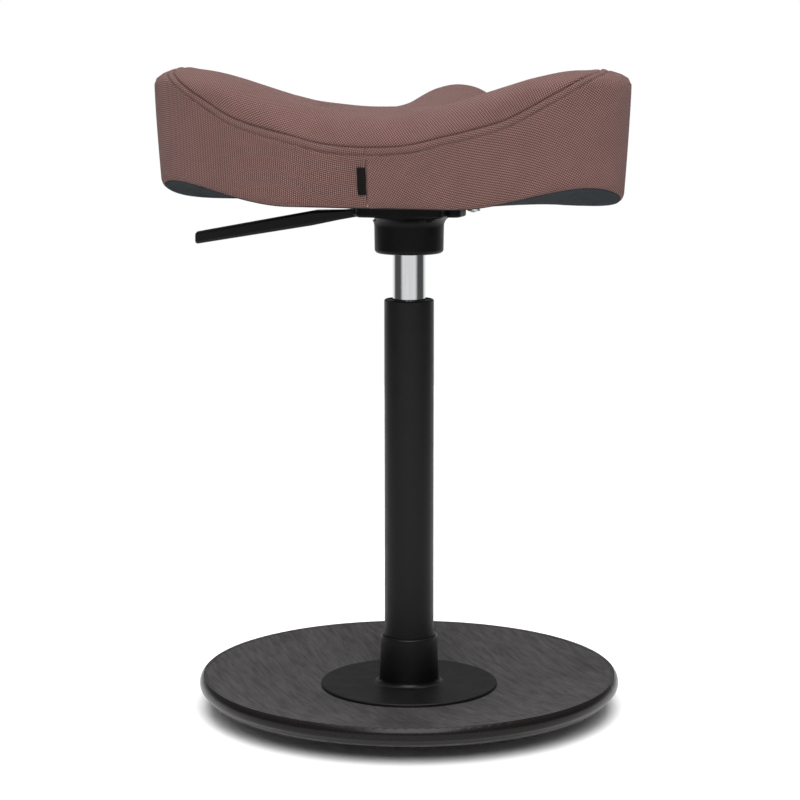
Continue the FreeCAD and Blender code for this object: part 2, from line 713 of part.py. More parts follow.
def make_lever():
    bend_x = LEVER_PIN_X - LEVER_BEND_FAR
    mid_x = LEVER_PIN_X - LEVER_MID_FAR
    neck_x = LEVER_PIN_X - LEVER_NECK_FAR
    round_x = LEVER_TIP_X + LEVER_CORNER_R
    thin = LEVER_TIP_THICK
    handle = Part.makeLoft([
        lever_section(bend_x, lever_middle(bend_x), LEVER_BEND_THICK, LEVER_GRIP_WIDTH - 6.0, LEVER_CORNER_R),
        lever_section(round_x, lever_middle(round_x), thin, LEVER_GRIP_WIDTH, LEVER_CORNER_R),
    ], True, True)
    cap = Part.makeLoft([
        lever_section(round_x, lever_middle(round_x), thin, LEVER_GRIP_WIDTH, LEVER_CORNER_R),
        lever_section(LEVER_TIP_X + 0.8, lever_middle(LEVER_TIP_X), thin - 2.0, LEVER_GRIP_WIDTH - 3.0, LEVER_CORNER_R),
        lever_section(LEVER_TIP_X, lever_middle(LEVER_TIP_X), thin - 5.0, LEVER_GRIP_WIDTH - 7.0, 2.0),
    ], True, True)
    neck = Part.makeLoft([
        lever_section(neck_x, LEVER_PIN_Z - LEVER_NECK_DROP, LEVER_NECK_THICK, LEVER_ROOT_WIDTH, 1.2),
        lever_section(mid_x, LEVER_PIN_Z - LEVER_MID_DROP, LEVER_MID_THICK, LEVER_ROOT_WIDTH + 2.0, 2.0),
        lever_section(bend_x, lever_middle(bend_x), LEVER_BEND_THICK, LEVER_GRIP_WIDTH - 6.0, LEVER_CORNER_R),
    ], True, True)
    root = LEVER_ROOT_WIDTH / 2
    nose_half = 1.6
    nose = [
        (LEVER_NOSE_X - 1.5, LEVER_PIN_Z - 1.5),
        (LEVER_PIN_X + 4, LEVER_PIN_Z + 3.0),
        (LEVER_PIN_X - 4, LEVER_PIN_Z + 3.0),
        (neck_x, LEVER_PIN_Z - LEVER_NECK_DROP + LEVER_NECK_THICK / 2),
        (neck_x, LEVER_PIN_Z - LEVER_NECK_DROP - LEVER_NECK_THICK / 2),
        (LEVER_PIN_X - 4, LEVER_PIN_Z - 6.0),
        (LEVER_PIN_X + 8, LEVER_NOSE_Z + nose_half),
        (-4.0, LEVER_NOSE_Z),
        (3.0, LEVER_NOSE_Z),
        (LEVER_NOSE_X, LEVER_NOSE_Z + nose_half),
    ]
    points = [V(x, -root, z) for x, z in nose]
    arm = Part.Face(Part.makePolygon(points + [points[0]])).extrude(V(0, 2 * root, 0))
    eye = Part.makeCylinder(LEVER_EYE_R, 2 * root, V(LEVER_PIN_X, -root, LEVER_PIN_Z), V(0, 1, 0))
    body = handle.multiFuse([cap, neck, arm, eye])
    hole = Part.makeCylinder(LEVER_PIN_R + SLIDE_GAP, 4 * root, V(LEVER_PIN_X, -2 * root, LEVER_PIN_Z), V(0, 1, 0))
    return body.cut(hole)


def pin_half_length():
    return LEVER_SLOT_Y / 2 + CHEEK_THICK + FREE_GAP + PIN_CLIP_THICK + 1.2


def make_lever_pin():
    half = pin_half_length()
    pin = Part.makeCylinder(LEVER_PIN_R, 2 * half, V(LEVER_PIN_X, -half, LEVER_PIN_Z), V(0, 1, 0))
    start = LEVER_SLOT_Y / 2 + CHEEK_THICK + SOFT_GAP
    for side in (-1, 1):
        low = start if side > 0 else -start - PIN_CLIP_THICK
        outer = Part.makeCylinder(LEVER_PIN_R + 1, PIN_CLIP_THICK, V(LEVER_PIN_X, low, LEVER_PIN_Z), V(0, 1, 0))
        core = Part.makeCylinder(LEVER_PIN_R - 0.6, PIN_CLIP_THICK, V(LEVER_PIN_X, low, LEVER_PIN_Z), V(0, 1, 0))
        pin = pin.cut(outer.cut(core))
    return pin


def make_pin_clips():
    start = LEVER_SLOT_Y / 2 + CHEEK_THICK + SOFT_GAP
    clips = []
    for side in (-1, 1):
        low = start + FIT_GAP if side > 0 else -start - PIN_CLIP_THICK + FIT_GAP
        thick = PIN_CLIP_THICK - 2 * FIT_GAP
        disc = Part.makeCylinder(PIN_CLIP_R, thick, V(LEVER_PIN_X, low, LEVER_PIN_Z), V(0, 1, 0))
        core = Part.makeCylinder(LEVER_PIN_R - 0.6 + FIT_GAP, thick, V(LEVER_PIN_X, low, LEVER_PIN_Z), V(0, 1, 0))
        disc = disc.cut(core)
        mouth = box(LEVER_PIN_X - 1.5, LEVER_PIN_X + 1.5, low - 1, low + 2, LEVER_PIN_Z, LEVER_PIN_Z + PIN_CLIP_R + 1)
        clips.append(disc.cut(mouth))
    return Part.makeCompound(clips)


# Screws of the seat

def seat_screw_face_z():
    return MOUNT_TOP_Z - EAR_THICK


def shell_top_z():
    return SHELL_Z + SHELL_THICK


def make_seat_washers():
    top = seat_screw_face_z()
    rings = [ring(SEAT_WASHER_R, SEAT_SCREW_R + 0.2, top - SEAT_WASHER_THICK, top, x, y)
             for x, y in seat_screw_places()]
    return Part.makeCompound(rings)


def make_seat_screws():
    head_top = seat_screw_face_z() - SEAT_WASHER_THICK
    head_low = head_top - SEAT_SCREW_HEAD_H
    screws = []
    for x, y in seat_screw_places():
        shank = cylinder(SEAT_SCREW_R, head_top - 0.5, shell_top_z() - 0.4, x, y)
        head = cylinder(SEAT_SCREW_HEAD_R, head_low + 1.4, head_top, x, y)
        head = head.fuse(Part.makeCone(SEAT_SCREW_HEAD_R - 1.6, SEAT_SCREW_HEAD_R, 1.4, V(x, y, head_low)))
        socket = Part.Face(Part.makePolygon([
            V(x + 2.9 * math.cos(math.radians(60 * k)), y + 2.9 * math.sin(math.radians(60 * k)), head_low)
            for k in range(7)])).extrude(V(0, 0, 2.6))
        screws.append(head.cut(socket).fuse(shank))
    return Part.makeCompound(screws)


def make_tee_nuts():
    nuts = []
    for x, y in seat_screw_places():
        low = MOUNT_TOP_Z + 0.5
        top = shell_top_z()
        barrel = cylinder(TEE_NUT_BARREL_R, low, top, x, y)
        plate = cylinder(TEE_NUT_R, top, top + TEE_NUT_PLATE, x, y)
        nut = barrel.fuse(plate).cut(cylinder(SEAT_SCREW_R + FIT_GAP, low - 1, top + 5, x, y))
        nuts.append(nut)
    return Part.makeCompound(nuts)


# Saddle seat

def top_height(x, y):
    """Height of the seat top at a plan position."""
    side = abs(x)
    forward = (y - NOSE_RISE_START_Y) / NOSE_RISE_LENGTH
    base = NOSE_RISE * min(max(forward, 0.0), 1.0) ** 1.5
    rear = WING_RISE * math.sin(math.pi / 2 * min(side / WING_CREST_X, 1.06)) ** 2.6
    ahead = max(y - WING_FADE_START_Y, 0.0) / WING_FADE_LENGTH
    front = WING_RISE * min(side / WING_FRONT_X, 1.2) ** 1.75 * math.exp(-ahead ** 2)
    share = smooth((WING_REAR_START_Y - y) / WING_REAR_LENGTH)
    wing = share * rear + (1.0 - share) * front
    crown = smooth((y - NOSE_CROWN_START_Y) / NOSE_CROWN_LENGTH) / (2 * NOSE_CROWN_R)
    fall = min(x * x * crown, NOSE_FALL_LIMIT)
    return SHELL_Z + SEAT_MID_HEIGHT + base + wing - fall


def shell_height(x, y):
    """Height of the underside of the seat shell at a plan position."""
    reach = math.hypot(x / BOWL_X, y / BOWL_Y)
    bowl = BOWL_RISE * smooth((reach - 0.3) / 0.7)
    across = smooth((abs(x) - TUCK_START_X) / TUCK_LENGTH_X)
    rearward = smooth((TUCK_START_Y - y) / TUCK_LENGTH_Y)
    return SHELL_Z + bowl + WING_TUCK * across * rearward


def seam_drop(x):
    """Depth of the seam between top panel and border, below the top surface."""
    rise = smooth((abs(x) - SEAM_DROP_START_X) / SEAM_DROP_LENGTH)
    return SEAM_DROP_REAR + (SEAM_DROP_WING - SEAM_DROP_REAR) * rise


def plan_curve():
    """Right half of the seat plan, from the middle of the rear to the middle of the nose."""
    points = [V(x, y, 0) for x, y in SEAT_HALF_PLAN]
    steps = [0.0]
    for first, second in zip(points, points[1:]):
        steps.append(steps[-1] + first.distanceToPoint(second))
    curve = Part.BSplineCurve()
    curve.interpolate(Points=points, Parameters=steps, InitialTangent=V(1, 0, 0), FinalTangent=V(-1, 0, 0))
    return curve


def right_samples():
    """Points along the right half of the seat plan with their inward directions."""
    curve = plan_curve()
    places = curve.discretize(Number=RING_POINTS // 2 + 1)
    right = []
    for place in places:
        tangent = curve.tangent(curve.parameter(place))[0]
        right.append((place, V(-tangent.y, tangent.x, 0)))
    return right


def all_samples():
    """Points all round the seat plan, mirrored about the middle plane."""
    right = right_samples()
    left = [(V(-place.x, place.y, 0), V(-inward.x, inward.y, 0)) for place, inward in reversed(right[1:-1])]
    return right + left


def ring_wire(samples, inset, share, height):
    """Closed curve inside the seat plan, shrunk to a share of its size about the seat middle."""
    points = []
    for place, inward in samples:
        x = (place.x + inward.x * inset) * share
        y = SEAT_MIDDLE_Y + (place.y + inward.y * inset - SEAT_MIDDLE_Y) * share
        points.append(V(x, y, height(x, y)))
    count = len(points)
    tangents = [V(points[1].x, 0, 0)] + [V(0, 0, 0)] * (count - 1)
    flags = [True] + [False] * (count - 1)
    steps = [float(i) for i in range(count + 1)]
    curve = Part.BSplineCurve()
    curve.interpolate(Points=points, PeriodicFlag=True, Parameters=steps, Tangents=tangents, TangentFlags=flags)
    marks = steps[::RING_EDGE_SPANS]
    return Part.Wire([curve.toShape(low, high) for low, high in zip(marks, marks[1:])])


def right_half(wire):
    """Half of a ring on the right of the middle plane."""
    return Part.Wire([edge for edge in wire.Edges if edge.CenterOfMass.x > 0])


def level_ring(samples, z):
    """Small level ring in the middle of the seat, where a face is closed off."""
    return ring_wire(samples, 0.0, CENTRE_SHARE, lambda x, y: z)


def ring_solid(runs, caps):
    """Solid from runs of rings: each pair of rings is joined, and the cap outlines are filled."""
    faces = []
    for wires in runs:
        for first, second in zip(wires, wires[1:]):
            faces.extend(Part.makeLoft([first, second], False, True).Faces)
    faces.extend([Part.Face(wire) for wire in caps])
    shell = Part.makeShell(faces)
    shell.sewShape()
    solid = Part.makeSolid(shell)
    if solid.Volume < 0:
        solid.reverse()
    return solid


def wall_inset(share):
    """Inward lean of the border at a share of its height below the seam."""
    return BORDER_LEAN * share ** 1.3


def roll_ring(samples, angle, skin):
    """Ring on the rolled top edge: angle 0 is the seam, 90 the flat top."""
    turn = math.radians(angle)
    inset = ROLL_IN - (ROLL_IN - skin) * math.cos(turn)

    def height(x, y):
        depth = seam_drop(x) - (seam_drop(x) - skin) * math.sin(turn)
        return top_height(x, y) - depth

    return ring_wire(samples, inset, 1.0, height)


def top_rings(samples, skin):
    """Rings from the seam over the rolled edge to the middle of the seat."""
    rings = [roll_ring(samples, angle, skin) for angle in (0, 15, 30, 45, 60, 75, 90)]
    for share in INNER_SHARES:
        rings.append(ring_wire(samples, ROLL_IN, share, lambda x, y: top_height(x, y) - skin))
    rings.append(level_ring(samples, top_height(0, SEAT_MIDDLE_Y) - skin))
    return rings


def wall_ring(samples, share, skin, lift):
    """Ring on the border: share 0 is the seam, 1 the height lift above the shell underside."""
    inset = wall_inset(share) + skin

    def height(x, y):
        high = top_height(x, y) - seam_drop(x)
        low = shell_height(x, y) + lift
        return high + (low - high) * share

    return ring_wire(samples, inset, 1.0, height)


def flat_rings(samples, insets, lift):
    """Rings that follow the shell underside, at given insets and then on shared rings to the middle."""
    rings = [under_ring(samples, inset, lift) for inset in insets]
    for share in INNER_SHARES:
        rings.append(ring_wire(samples, LIP_INSET, share, lambda x, y: shell_height(x, y) + lift))
    rings.append(level_ring(samples, shell_height(0, SEAT_MIDDLE_Y) + lift))
    return rings


def under_ring(samples, inset, lift):
    return ring_wire(samples, inset, 1.0, lambda x, y: shell_height(x, y) + lift)


def make_cover_top(samples):
    outer = top_rings(samples, 0.0)
    inner = top_rings(samples, SKIN)
    return ring_solid([outer, inner, [outer[0], inner[0]]], [outer[-1], inner[-1]])


def end_outline(wires, end):
    """Cross section through the first or last points of open rings."""
    points = [wire.OrderedVertexes[end].Point for wire in wires]
    return Part.makePolygon(points + [points[0]])


def make_border_right(samples):
    """Right half of the border, with the lip that turns under the shell."""
    lip_z = -CLOTH_GAP
    outer = [wall_ring(samples, share, 0.0, 0.0) for share in WALL_SHARES]
    inner = [wall_ring(samples, share, SKIN, 0.0) for share in reversed(WALL_SHARES)]
    lip_low = [under_ring(samples, inset, lip_z - SKIN) for inset in (HEM_INSET, LAP_INSET, LIP_INSET)]
    lip_high = [under_ring(samples, inset, lip_z) for inset in (LIP_INSET, LAP_INSET, BORDER_LEAN + SKIN)]
    around = [right_half(wire) for wire in outer + lip_low + lip_high + inner]
    return ring_solid([around + [around[0]]], [end_outline(around, 0), end_outline(around, -1)])


def make_seat_shell(samples):
    low = flat_rings(samples, (EDGE_INSET, LAP_INSET, LIP_INSET), 0.0)
    high = flat_rings(samples, (EDGE_INSET, LAP_INSET, LIP_INSET), SHELL_THICK)
    shell = ring_solid([low, high, [low[0], high[0]]], [low[-1], high[-1]])
    shell = shell.cut(mount_outline(SOFT_GAP, SHELL_Z - 20, MOUNT_TOP_Z))
    for x, y in seat_screw_places():
        shell = shell.cut(cylinder(TEE_NUT_BARREL_R + FIT_GAP, SHELL_Z - 5, SHELL_Z + 40, x, y))
        shell = shell.cut(cylinder(TEE_NUT_R + FIT_GAP, shell_top_z(), shell_top_z() + 20, x, y))
    return shell


def make_foam_pad(samples):
    skin = SKIN + FOAM_GAP
    low = flat_rings(samples, (EDGE_INSET, LAP_INSET, LIP_INSET), SHELL_THICK)
    top = top_rings(samples, skin)
    walls = [wall_ring(samples, share, skin, 0.0) for share in reversed(WALL_SHARES[1:-1])]
    side = [low[0]] + walls + [top[0]]
    foam = ring_solid([low, side, top], [low[-1], top[-1]])
    for x, y in seat_screw_places():
        foam = foam.cut(cylinder(TEE_NUT_R + SOFT_GAP, SHELL_Z, shell_top_z() + TEE_NUT_PLATE + 1.0, x, y))
    return foam


def make_underside_cover(samples):
    """Thin lining that laps over the border lip and steps up to the shell inside it."""
    lap_top = -SKIN - 2 * CLOTH_GAP
    step = LIP_INSET + SOFT_GAP
    lap_low = [under_ring(samples, inset, lap_top - UNDER_COVER_THICK) for inset in (LAP_INSET, step)]
    low = flat_rings(samples, (step + UNDER_COVER_STEP,), -CLOTH_GAP - UNDER_COVER_THICK)
    lap_high = [under_ring(samples, inset, lap_top) for inset in (LAP_INSET, LIP_INSET, step)]
    high = flat_rings(samples, (step,), -CLOTH_GAP)
    cover = ring_solid([
        lap_low,
        [lap_low[-1], low[0]],
        low,
        [lap_low[0], lap_high[0]],
        lap_high,
        [lap_high[-1], high[0]],
        high,
    ], [low[-1], high[-1]])
    return cover.cut(mount_outline(SOFT_GAP + 1.0, SHELL_Z - 20, MOUNT_TOP_Z + 2))


def make_label_tag():
    """Ribbon tag that lies against the leaning border beside the rear seam."""
    rear_y = SEAT_HALF_PLAN[0][1]
    hem = shell_height(0, rear_y)
    border = top_height(0, rear_y) - seam_drop(0) - hem
    points = []
    for rise in (TAG_BOTTOM_UP, TAG_BOTTOM_UP + TAG_HEIGHT):
        back = rear_y + wall_inset(1 - rise / border) - CLOTH_GAP
        points.append((back, hem + rise))
    outline = points + [(y - TAG_THICK, z) for y, z in reversed(points)]
    corners = [V(-TAG_WIDTH, y, z) for y, z in outline]
    return Part.Face(Part.makePolygon(corners + [corners[0]])).extrude(V(TAG_WIDTH, 0, 0))


def main():
    save("footplate", make_footplate())
    save("anti_slip_ring", make_anti_slip_ring())
    save("flange_plate", make_flange_plate())
    save("base_screws", make_base_screws())
    save("column_socket", make_column_socket())
    save("column_tube", make_column_tube())
    save("tube_floor", make_tube_floor())
    save("guide_bush", make_guide_bush())
    save("lower_washer", make_lower_washer())
    save("ball_cage", make_ball_cage())
    save("upper_washer", make_upper_washer())
    save("piston_rod", make_piston_rod())
    save("piston", make_piston())
    save("piston_seal", make_piston_seal())
    save("rod_clip", make_rod_clip())
    save("bumper", make_bumper())
    save("gas_cylinder", make_gas_cylinder())
    save("valve_body", make_valve_body())
    save("rod_guide", make_rod_guide())
    save("release_button", make_release_button())
    save("mechanism_housing", make_mechanism_housing())
    save("lever", make_lever())
    save("lever_pin", make_lever_pin())
    save("pin_clips", make_pin_clips())
    save("seat_washers", make_seat_washers())
    save("seat_screws", make_seat_screws())
    save("tee_nuts", make_tee_nuts())
    seat_nodes()


def seat_nodes():
    samples = all_samples()
    save("cover_top", make_cover_top(samples))
    border_right = make_border_right(samples)
    save("border_right", border_right)
    save("border_left", border_right.mirror(V(0, 0, 0), V(1, 0, 0)))
    save("seat_shell", make_seat_shell(samples))
    save("foam_pad", make_foam_pad(samples))
    save("underside_cover", make_underside_cover(samples))
    save("label_tag", make_label_tag())


main()
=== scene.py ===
import bpy
import math
import numpy as np
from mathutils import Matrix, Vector
from mathutils.kdtree import KDTree


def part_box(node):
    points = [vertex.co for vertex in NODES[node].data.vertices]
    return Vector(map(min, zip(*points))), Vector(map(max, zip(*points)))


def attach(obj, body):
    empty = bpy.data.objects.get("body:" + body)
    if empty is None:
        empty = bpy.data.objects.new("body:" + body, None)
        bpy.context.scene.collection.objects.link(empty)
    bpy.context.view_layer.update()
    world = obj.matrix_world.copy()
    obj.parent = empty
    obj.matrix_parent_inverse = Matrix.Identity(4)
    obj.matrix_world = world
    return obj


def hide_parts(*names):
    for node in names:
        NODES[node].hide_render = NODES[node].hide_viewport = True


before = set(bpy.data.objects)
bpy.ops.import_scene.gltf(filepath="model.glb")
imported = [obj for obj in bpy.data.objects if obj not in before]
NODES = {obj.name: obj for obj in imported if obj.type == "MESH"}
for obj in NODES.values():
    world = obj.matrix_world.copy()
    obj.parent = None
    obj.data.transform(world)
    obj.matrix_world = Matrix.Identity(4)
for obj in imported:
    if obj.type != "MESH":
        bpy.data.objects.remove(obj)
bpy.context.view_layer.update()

# The seat is worked out in millimetres, and its meshes are scaled to metres
MM = 0.001

# Camera of the photograph, as fitted to the ellipses of rim, flange, socket and tube
CAMERA_AZIMUTH = 17.5
CAMERA_PITCH = 7.0806
CAMERA_DISTANCE = 2.381414
CAMERA_HEIGHT = 0.67549
CAMERA_LENS = 107.45
SENSOR = 36.0
CLIP_START = 0.1
CLIP_END = 50.0
IMAGE_SIDE = 800
AXIS_PIXEL_X = 409.1
AXIS_PIXEL_Y = 338.3

# Saddle plan, half of a symmetric closed curve from rear to nose
HALF_PLAN = [
    (0.0, -138.0), (75.0, -138.0), (140.0, -135.0), (190.0, -123.0), (224.0, -104.0),
    (239.0, -78.0), (233.0, -50.0), (208.0, -28.0), (170.0, -10.0), (134.0, 10.0),
    (106.0, 38.0), (90.0, 74.0), (82.0, 112.0), (75.0, 148.0), (58.0, 182.0),
    (32.0, 202.0), (0.0, 208.0),
]
REAR_Y = HALF_PLAN[0][1]
MIDDLE = np.array([0.0, -40.0])

# Height of the saddle, as in the part's source
SHELL_LET_IN = 1.0
SHELL_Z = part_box("mechanism_housing")[1][2] / MM - SHELL_LET_IN
SEAT_MID_HEIGHT = 94.3
WING_RISE = 41.0
WING_CREST_X = 208.0
WING_CREST_LIMIT = 1.06
WING_REAR_POWER = 2.6
WING_FRONT_X = 222.0
WING_FRONT_LIMIT = 1.2
WING_FRONT_POWER = 1.75
WING_FADE_START_Y = -60.0
WING_FADE_LENGTH = 110.0
WING_REAR_START_Y = -25.0
WING_REAR_LENGTH = 55.0
NOSE_RISE = 22.0
NOSE_RISE_START_Y = -20.0
NOSE_RISE_LENGTH = 190.0
NOSE_RISE_POWER = 1.5
NOSE_CROWN_R = 64.0
NOSE_CROWN_START_Y = -30.0
NOSE_CROWN_LENGTH = 150.0
NOSE_FALL_LIMIT = 38.0

# Underside of the shell
BOWL_RISE = 6.5
BOWL_X = 160.0
BOWL_Y = 138.0
BOWL_FLAT = 0.3
WING_TUCK = 24.0
TUCK_START_X = 80.0
TUCK_LENGTH_X = 150.0
TUCK_START_Y = -25.0
TUCK_LENGTH_Y = 95.0

# Rolled edge and border
ROLL_IN = 32.0
BORDER_LEAN = 6.0
BORDER_CURVE = 1.3
SEAM_DROP_REAR = 33.0
SEAM_DROP_WING = 15.0
SEAM_DROP_START_X = 40.0
SEAM_DROP_LENGTH = 170.0
FLAT_SHARE = 0.86

# Places on the section of the cushion: wall, rolled edge and rim of the flat top
WALL_STEPS = 25
ROLL_STEPS = 30
ROLL_FIRST_ANGLE = 3.0
FLAT_STEPS = 8

# Rise of the sewn seam above the foot of the rolled edge, one value per plan point
SEAM_RISE = (1.0, 2.5, -12.5, -2.0, 24.0, 38.0, 34.0, 20.0, 6.0, 0.0, 0.0, 0.0, 0.0, 0.0, 0.0, 0.0, 0.0)
SEAM_SAMPLES = 400
SEAM_BLUR = 11.0
SEAM_BLUR_SAMPLES = 40

# Seam between top and border: distance from the seam and lift off the cushion
SEAM_TUCK = 2.4
SEAM_LAP = 0.9
BAND_WIDTH = 7.6
TOP_EDGE = [
    (0.0, -SEAM_TUCK), (0.5, -1.1), (1.0, -0.35), (1.6, 0.1), (2.4, 0.35), (3.4, 0.45), (4.8, 0.4),
    (6.4, 0.25), (8.4, 0.1),
]
BORDER_BAND = [
    (0.0, -SEAM_TUCK), (0.4, -1.0), (0.9, -0.2), (1.5, 0.35), (2.3, 0.7), (3.4, 0.85), (4.6, 0.8),
    (5.6, 0.55), (6.3, 0.2), (6.9, -0.3), (BAND_WIDTH, -0.85), (8.2, -0.4), (8.9, 0.0), (9.8, 0.3),
    (11.2, 0.3), (13.5, 0.15),
]
TOP_FOLD = 1.5
TOP_FOLD_DROP = 1.0

# Mesh density of the cover pieces
TOP_COLUMNS = 760
TOP_EDGE_ROWS = 20
TOP_FLAT_ROWS = 42
TOP_LAST_SHARE = 0.03
BORDER_COLUMNS = 1400
BORDER_ROWS = 18

# Ripple of the sewn edges: height, waves round the seat and seeds
RIPPLE_HEIGHT = 0.3
RIPPLE_BASE_WAVES = 12.0
RIPPLE_PHASES = 6.28
TOP_WAVES = (9, 14, 23, 31, 44)
TOP_SEED = 3
BORDER_WAVES = (8, 13, 21, 34, 55)
BORDER_SEED = 5

# Upright seams where the two borders meet, at rear and nose
UPRIGHT_DIP = 1.3
UPRIGHT_DIP_WIDTH = 0.9
UPRIGHT_SWELL = 0.35
UPRIGHT_SWELL_AT = 3.0
UPRIGHT_SWELL_WIDTH = 1.6

# Turned hem under the border
HEM_ROUND = 4.0
HEM_LIP = 13.0
HEM_DROP = 1.6
HEM_ANGLES = (18, 36, 54, 72, 90)
HEM_LIP_STEPS = (4.0, HEM_LIP - HEM_ROUND)

# Lining under the seat, with its pressed seam, its slack and the turned edges
LINING_COLUMNS = 560
LINING_SHARES = (0.0, 0.004, 0.010, *np.linspace(0.02, 0.985, 46), 0.994, 1.0)
LINING_INSET = 9.0
LINING_LAP = 2.3
LINING_DROP = 1.3
LINING_STEP_AT = 22.0
LINING_STEP_LENGTH = 5.0
LINING_REACH = 90.0
LINING_SWEEP = 0.06
LINING_OVERHANG = 0.4
LINING_SEAM_TURN = math.radians(35.0)
LINING_SEAM_AT = 105.0
LINING_SEAM_DEPTH = 0.55
LINING_SEAM_WIDTH = 1.1
LINING_SLACK = 0.18
LINING_SLACK_X = 17.0
LINING_SLACK_Y = 23.0
LINING_SLACK_SWAY = 1.3
LINING_EDGE_TURN = 0.7

# Top stitches in the crease under the band
STITCH_LINE_POINTS = 1330
STITCH_STEP = 5.2
STITCH_LENGTH = 3.6
STITCH_START = 0.15
STITCH_RADIUS = 0.42
STITCH_END_SHARE = 0.55
STITCH_SUNK = 0.55
STITCH_ARCH = 0.35
STITCH_ENDS_DOWN = 0.25
STITCH_SIDES = 6
STITCH_RINGS = 5

# Ribbon tag in the rear seam
TAG_ROWS = 14
TAG_COLUMNS = 7
TAG_THICK = 0.7
TAG_OFF = 0.5
TAG_OPEN = 0.9
TAG_BELLY = 0.25

# Cushion under cloth simulation, with the voxel and the held distances in metres
SIM_COLUMNS = 180
SIM_ROLL_ANGLES = (0, 15, 30, 45, 60, 75, 90)
SIM_TOP_SHARES = np.linspace(0.93, 0.04, 20)
SIM_WALL_SHARES = (1.0, 0.8, 0.6, 0.4, 0.2)
SIM_UNDER_SHARES = (0.02, 0.3, 0.6, 0.85, 0.97)
SIM_VOXEL = 0.006
SIM_HOLD_SEAM = 0.006
SIM_HOLD_LOW = 0.010
SIM_PRESSURE = 4.0
SIM_STRETCH = 30.0
SIM_BEND = 4.0
SIM_FRAMES = 20
PUFF_LIMIT = 2.2
PUFF_NEIGHBOURS = 6
PUFF_SOFTEN = 1.5
TINY = 1e-9

# Cloth: pitch of the weave in millimetres, and the two yarns
WEAVE_PITCH = 1.40
LIGHT_YARN = (0.225, 0.124, 0.112)
DARK_YARN = (0.060, 0.030, 0.027)

# Stain on the footplate's rounded edge, and the turn of its grain
EDGE_STAIN_R = 207.3
EDGE_STAIN_SHARPNESS = 900.0
WOOD_TURN = math.radians(-37.0)

# Where a ramp between two colours starts and ends
RAMP_LOW = 0.3
RAMP_HIGH = 0.7

# Floor and lights, in metres
FLOOR_R = 2.3
FLOOR_SIDES = 90
FLOOR_LIFT = 0.34
# No glow within the first reach and full glow beyond the second: the floor near the stool is left darker as a
# painted shadow
FLOOR_PAINTED_SHADOW_R = 0.24
FLOOR_PAINTED_SHADOW_FADE_R = 0.40
LIGHT_TARGET = Vector((0.0, 0.0, 0.35))
WHITE = (1.0, 1.0, 1.0)


# Small maths

def smooth(value):
    t = np.clip(value, 0.0, 1.0)
    return t * t * (3.0 - 2.0 * t)


def periodic_spline(points, count):
    """Places and inward normals round a closed cubic spline, the travel to each, and the whole way."""
    closed = np.array(points + [points[0]], float)
    steps = np.hypot(*np.diff(closed, axis=0).T)
    knots = np.concatenate([[0.0], np.cumsum(steps)])
    size = len(points)
    matrix = np.zeros((size, size))
    right = np.zeros((size, 2))
    for i in range(size):
        before, after = steps[i - 1], steps[i]
        matrix[i, i - 1] += before
        matrix[i, i] += 2 * (before + after)
        matrix[i, (i + 1) % size] += after
        earlier = closed[i - 1 if i else size - 1]
        right[i] = 6 * ((closed[i + 1] - closed[i]) / after - (closed[i] - earlier) / before)
    bend = np.linalg.solve(matrix, right)
    bend = np.vstack([bend, bend[:1]])
    travel = np.linspace(0.0, knots[-1], count, endpoint=False)
    index = np.clip(np.searchsorted(knots, travel, side="right") - 1, 0, size - 1)
    h = steps[index][:, None]
    a = ((knots[index + 1] - travel)[:, None]) / h
    b = 1.0 - a
    lower, upper = closed[index], closed[index + 1]
    bend_a, bend_b = bend[index], bend[index + 1]
    place = a * lower + b * upper + ((a ** 3 - a) * bend_a + (b ** 3 - b) * bend_b) * h * h / 6
    slope = (upper - lower) / h + ((1 - 3 * a * a) * bend_a + (3 * b * b - 1) * bend_b) * h / 6
    slope /= np.linalg.norm(slope, axis=1)[:, None]
    return place, np.stack([-slope[:, 1], slope[:, 0]], 1), travel, knots[-1]


def path_travel(points):
    """Travel from the first point to each of a row of points, or down the columns of a stack of rings."""
    gaps = np.linalg.norm(np.diff(points, axis=0), axis=-1)
    return np.concatenate([np.zeros((1,) + gaps.shape[1:]), np.cumsum(gaps, axis=0)])


def point_tree(points):
    tree = KDTree(len(points))
    for i, point in enumerate(points):
        tree.insert(Vector(point), i)
    tree.balance()
    return tree


def ripple(arc, total, seed, waves):
    """Gentle unevenness along a sewn edge, the same on every run."""
    rng = np.random.default_rng(seed)
    value = np.zeros_like(arc)
    for k in waves:
        height = RIPPLE_HEIGHT * math.sqrt(RIPPLE_BASE_WAVES / k)
        value += height * np.sin(2 * math.pi * k * arc / total + rng.uniform(0, RIPPLE_PHASES))
    return value


# Seat shapes

def top_height(x, y):
    side = np.abs(x)
    base = NOSE_RISE * np.clip((y - NOSE_RISE_START_Y) / NOSE_RISE_LENGTH, 0.0, 1.0) ** NOSE_RISE_POWER
    crest = np.minimum(side / WING_CREST_X, WING_CREST_LIMIT)
    rear = WING_RISE * np.sin(math.pi / 2 * crest) ** WING_REAR_POWER
    ahead = np.maximum(y - WING_FADE_START_Y, 0.0) / WING_FADE_LENGTH
    reach = np.minimum(side / WING_FRONT_X, WING_FRONT_LIMIT)
    front = WING_RISE * reach ** WING_FRONT_POWER * np.exp(-ahead ** 2)
    share = smooth((WING_REAR_START_Y - y) / WING_REAR_LENGTH)
    wing = share * rear + (1.0 - share) * front
    crown = smooth((y - NOSE_CROWN_START_Y) / NOSE_CROWN_LENGTH)
    fall = np.minimum(x * x / (2 * NOSE_CROWN_R) * crown, NOSE_FALL_LIMIT)
    return SHELL_Z + SEAT_MID_HEIGHT + base + wing - fall


